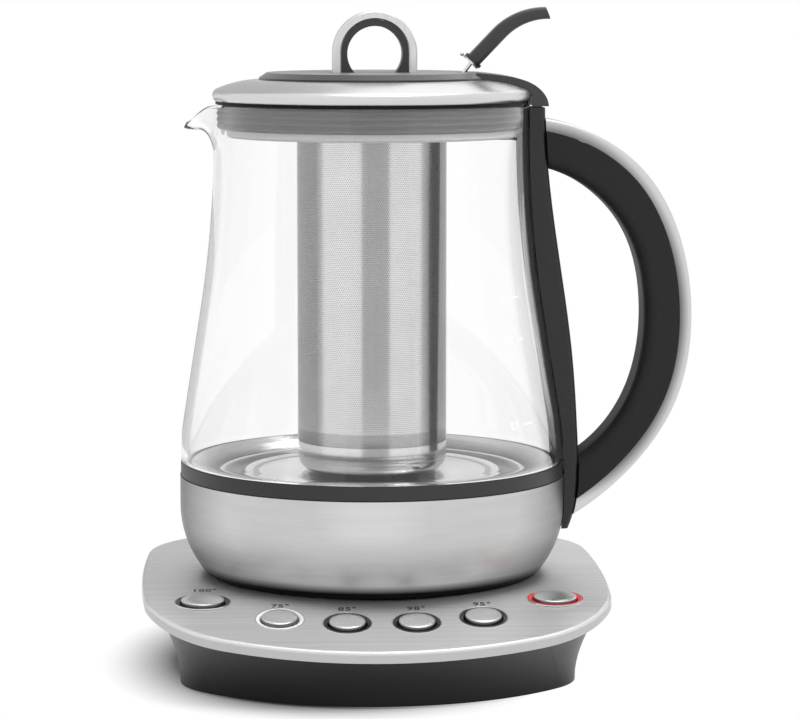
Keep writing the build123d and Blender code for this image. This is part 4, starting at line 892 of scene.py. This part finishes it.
def camera():
    """The camera, level with a person at a table's edge, on a long lens."""
    lens = bpy.data.cameras.new("camera")
    lens.lens = LENS
    holder = bpy.data.objects.new("camera", lens)
    bpy.context.scene.collection.objects.link(holder)
    holder.location = AXIS + Vector(CAMERA_PLACE)
    holder.rotation_euler = (radians(90 - CAMERA_DROP), 0, radians(CAMERA_TURN))
    bpy.context.scene.camera = holder


# ---- the object ---------------------------------------------------------------
def make_metals():
    """Every metal of the object."""
    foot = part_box("jug_shell")[0].z
    # painted shade at the foot and on the sides that turn away, and a painted highlight down the middle by
    # darkening either side of it
    shell_shades = [by_height(foot + 0.0004, foot + 0.0042), by_facing(0.36, 0.8, 0.38)]
    shell_shades += [by_facing(0.006, 0.06, 0.87)]
    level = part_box("heater_plate")[1].z - HEATER_RIDGE
    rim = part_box("heater_plate")[1].x - AXIS.x
    # painted shade: darker in the gutters, in the channel, in a thin ring by the inner ridge and at the foot
    # of the outer wall
    painted_gutter_shades = [by_height(level - 0.0034, level + 0.0007), by_ring(rim - 0.0175, 0.0042, 0.36)]
    painted_gutter_shades += [by_ring(rim - 0.0262, 0.0012, 0.45), wall_shade(rim - 0.0085, level, level + 0.0044)]
    plate_lines, cap_lines = straight_lines(14.0, 2600.0, 2600.0), straight_lines(80.0, 2200.0, 2200.0)
    # painted shade on the upright faces of the plate's rim
    plate = {"shades": [by_level(0.02, 0.4, 0.74)], "level_only": True, "Metallic": 0.86}
    return {
        "shell": brushed_steel(
            "steel_round_jug", 0.69, 0.75, 0.45, round_lines(5.0, 3600.0), shades=shell_shades
        ),
        "dome": brushed_steel("steel_round_lid", 0.66, 0.72, 0.27, round_lines(4.0, 2200.0), 0.03),
        "plate": brushed_steel("steel_plate", 0.6, 0.8, 0.36, plate_lines, 0.03, **plate),
        "ring": brushed_steel("steel_ring", 0.66, 0.76, 0.3, straight_lines(1500.0, 60.0, 1500.0), 0.02),
        "strap": brushed_steel("steel_strap", 0.62, 0.72, 0.3, strap_lines, 0.02, shades=[painted_strap_shade]),
        "heater": brushed_steel(
            "steel_heater", 0.58, 0.66, 0.22, round_lines(3.0, 1200.0), 0.03, shades=painted_gutter_shades
        ),
        "pierced": pierced_steel(),
        "infuser": brushed_steel("steel_infuser", 0.68, 0.74, 0.16, round_lines(6.0, 1800.0), 0.03),
        # painted shade on the upright sides of the caps
        "button": brushed_steel(
            "steel_button", 0.74, 0.9, 0.26, cap_lines, 0.05, shades=[by_level(0.4, 0.85, 0.16)]
        ),
        "polished": brushed_steel(
            "polished_steel", 0.72, 0.78, 0.15, straight_lines(200.0, 900.0, 900.0), 0.01
        ),
        "brass": brushed_steel("contact_brass", 0.4, 0.5, 0.3, round_lines(5.0, 1500.0)),
    }


def make_plastics():
    """Every plastic, rubber and print of the object."""
    # the case's edge is a painted highlight on its sides and its low levels a painted shade towards the
    # table; the lid's edge is a painted highlight
    case = {"dust": 0.05, "edge": (0.13, 0.1, 0.78), "low": (0.0, 0.028), "Specular_IOR_Level": 0.22}
    lid = {"edge": (0.16, 0.4, 0.9), "Specular_IOR_Level": 0.45}
    return {
        "case": moulded("case_plastic", grey(0.018), grey(0.023), 0.38, **case),
        "grip": moulded("grip_plastic", grey(0.010), grey(0.015), 0.5, dust=0.05, Specular_IOR_Level=0.22),
        "handle": moulded("handle_plastic", grey(0.009), grey(0.014), 0.3, dust=0.05, Specular_IOR_Level=0.4),
        "lid": moulded("lid_plastic", grey(0.026), grey(0.032), 0.38, **lid),
        "inner": moulded("inner_plastic", grey(0.004), grey(0.007), 0.5, Specular_IOR_Level=0.12),
        "rubber": moulded("soft_rubber", grey(0.02), grey(0.025), 0.6, 1800.0, Specular_IOR_Level=0.3),
        "band": moulded("band_rubber", grey(0.018), grey(0.024), 0.4, 1800.0, Specular_IOR_Level=0.4),
        "silicone": moulded("grey_silicone", grey(0.2), grey(0.215), 0.6, 2500.0, 0.03),
        "frosted": moulded("frosted_plastic", grey(0.72), grey(0.8), 0.5, 1500.0, 0.05),
        "board": moulded("circuit_board", (0.02, 0.12, 0.05, 1), (0.03, 0.15, 0.07, 1), 0.4),
        "ring_dark": moulded("ring_smoked", grey(0.012), grey(0.016), 0.15, depth=0.02),
        "ring_white": moulded("ring_white", grey(0.8), grey(0.86), 0.25, depth=0.02),
        "ring_red": moulded("ring_red", (0.62, 0.025, 0.03, 1), (0.7, 0.035, 0.04, 1), 0.3, depth=0.02),
        "ink": moulded("panel_ink", grey(0.03), grey(0.04), 0.5, depth=0.02),
        "enamel": moulded("white_enamel", grey(0.8), grey(0.85), 0.4, depth=0.02),
    }


def build():
    """The pieces that come as they are get their finish, and the finer ones are made."""
    metal, plastic = make_metals(), make_plastics()
    dress(metal["plate"], "base_top_plate")
    dress(metal["polished"], "base_screws", "handle_screws", "lid_screws", "heating_element")
    dress(metal["polished"], "lever_pin", "lever_stem", "lever_washer")
    dress(metal["brass"], "base_contacts")
    dress(metal["strap"], "handle_strap")
    dress(metal["ring"], "lid_ring_strap")
    dress(metal["infuser"], "infuser_collar")
    dress(plastic["case"], "base_case")
    dress(plastic["inner"], "base_bottom_cover", "cord_inlet", "push_switches", "relay", "base_connector")
    dress(plastic["inner"], "jug_connector", "jug_bottom_cover", "thermostat", "temperature_sensor")
    dress(plastic["inner"], "lid_base")
    dress(plastic["rubber"], "base_feet", "handle_gasket")
    dress(plastic["board"], "control_board", "power_board", "transformer")
    dress(plastic["band"], "jug_seal_band")
    dress(plastic["handle"], "handle_spine")
    dress(plastic["grip"], "handle_grip")
    dress(plastic["lid"], "lid_cap", "lid_ring_liner", "lever_grip")
    dress(plastic["frosted"], "lid_skirt")

    glass = glass_body()
    steel_bottom(metal["shell"])
    lid_dome(metal["dome"])
    heater(metal["heater"])
    infuser(metal["pierced"], metal["infuser"])
    silicone_seal(plastic["silicone"])
    plug_catch(plastic["silicone"])
    buttons(metal["button"], metal["polished"], plastic)
    panel_numbers(plastic["ink"])
    level_marks(plastic["enamel"], glass)


studio_floor()
studio_world()
studio_lights()
camera()
build()
bpy.context.scene.view_settings.view_transform = "Standard"
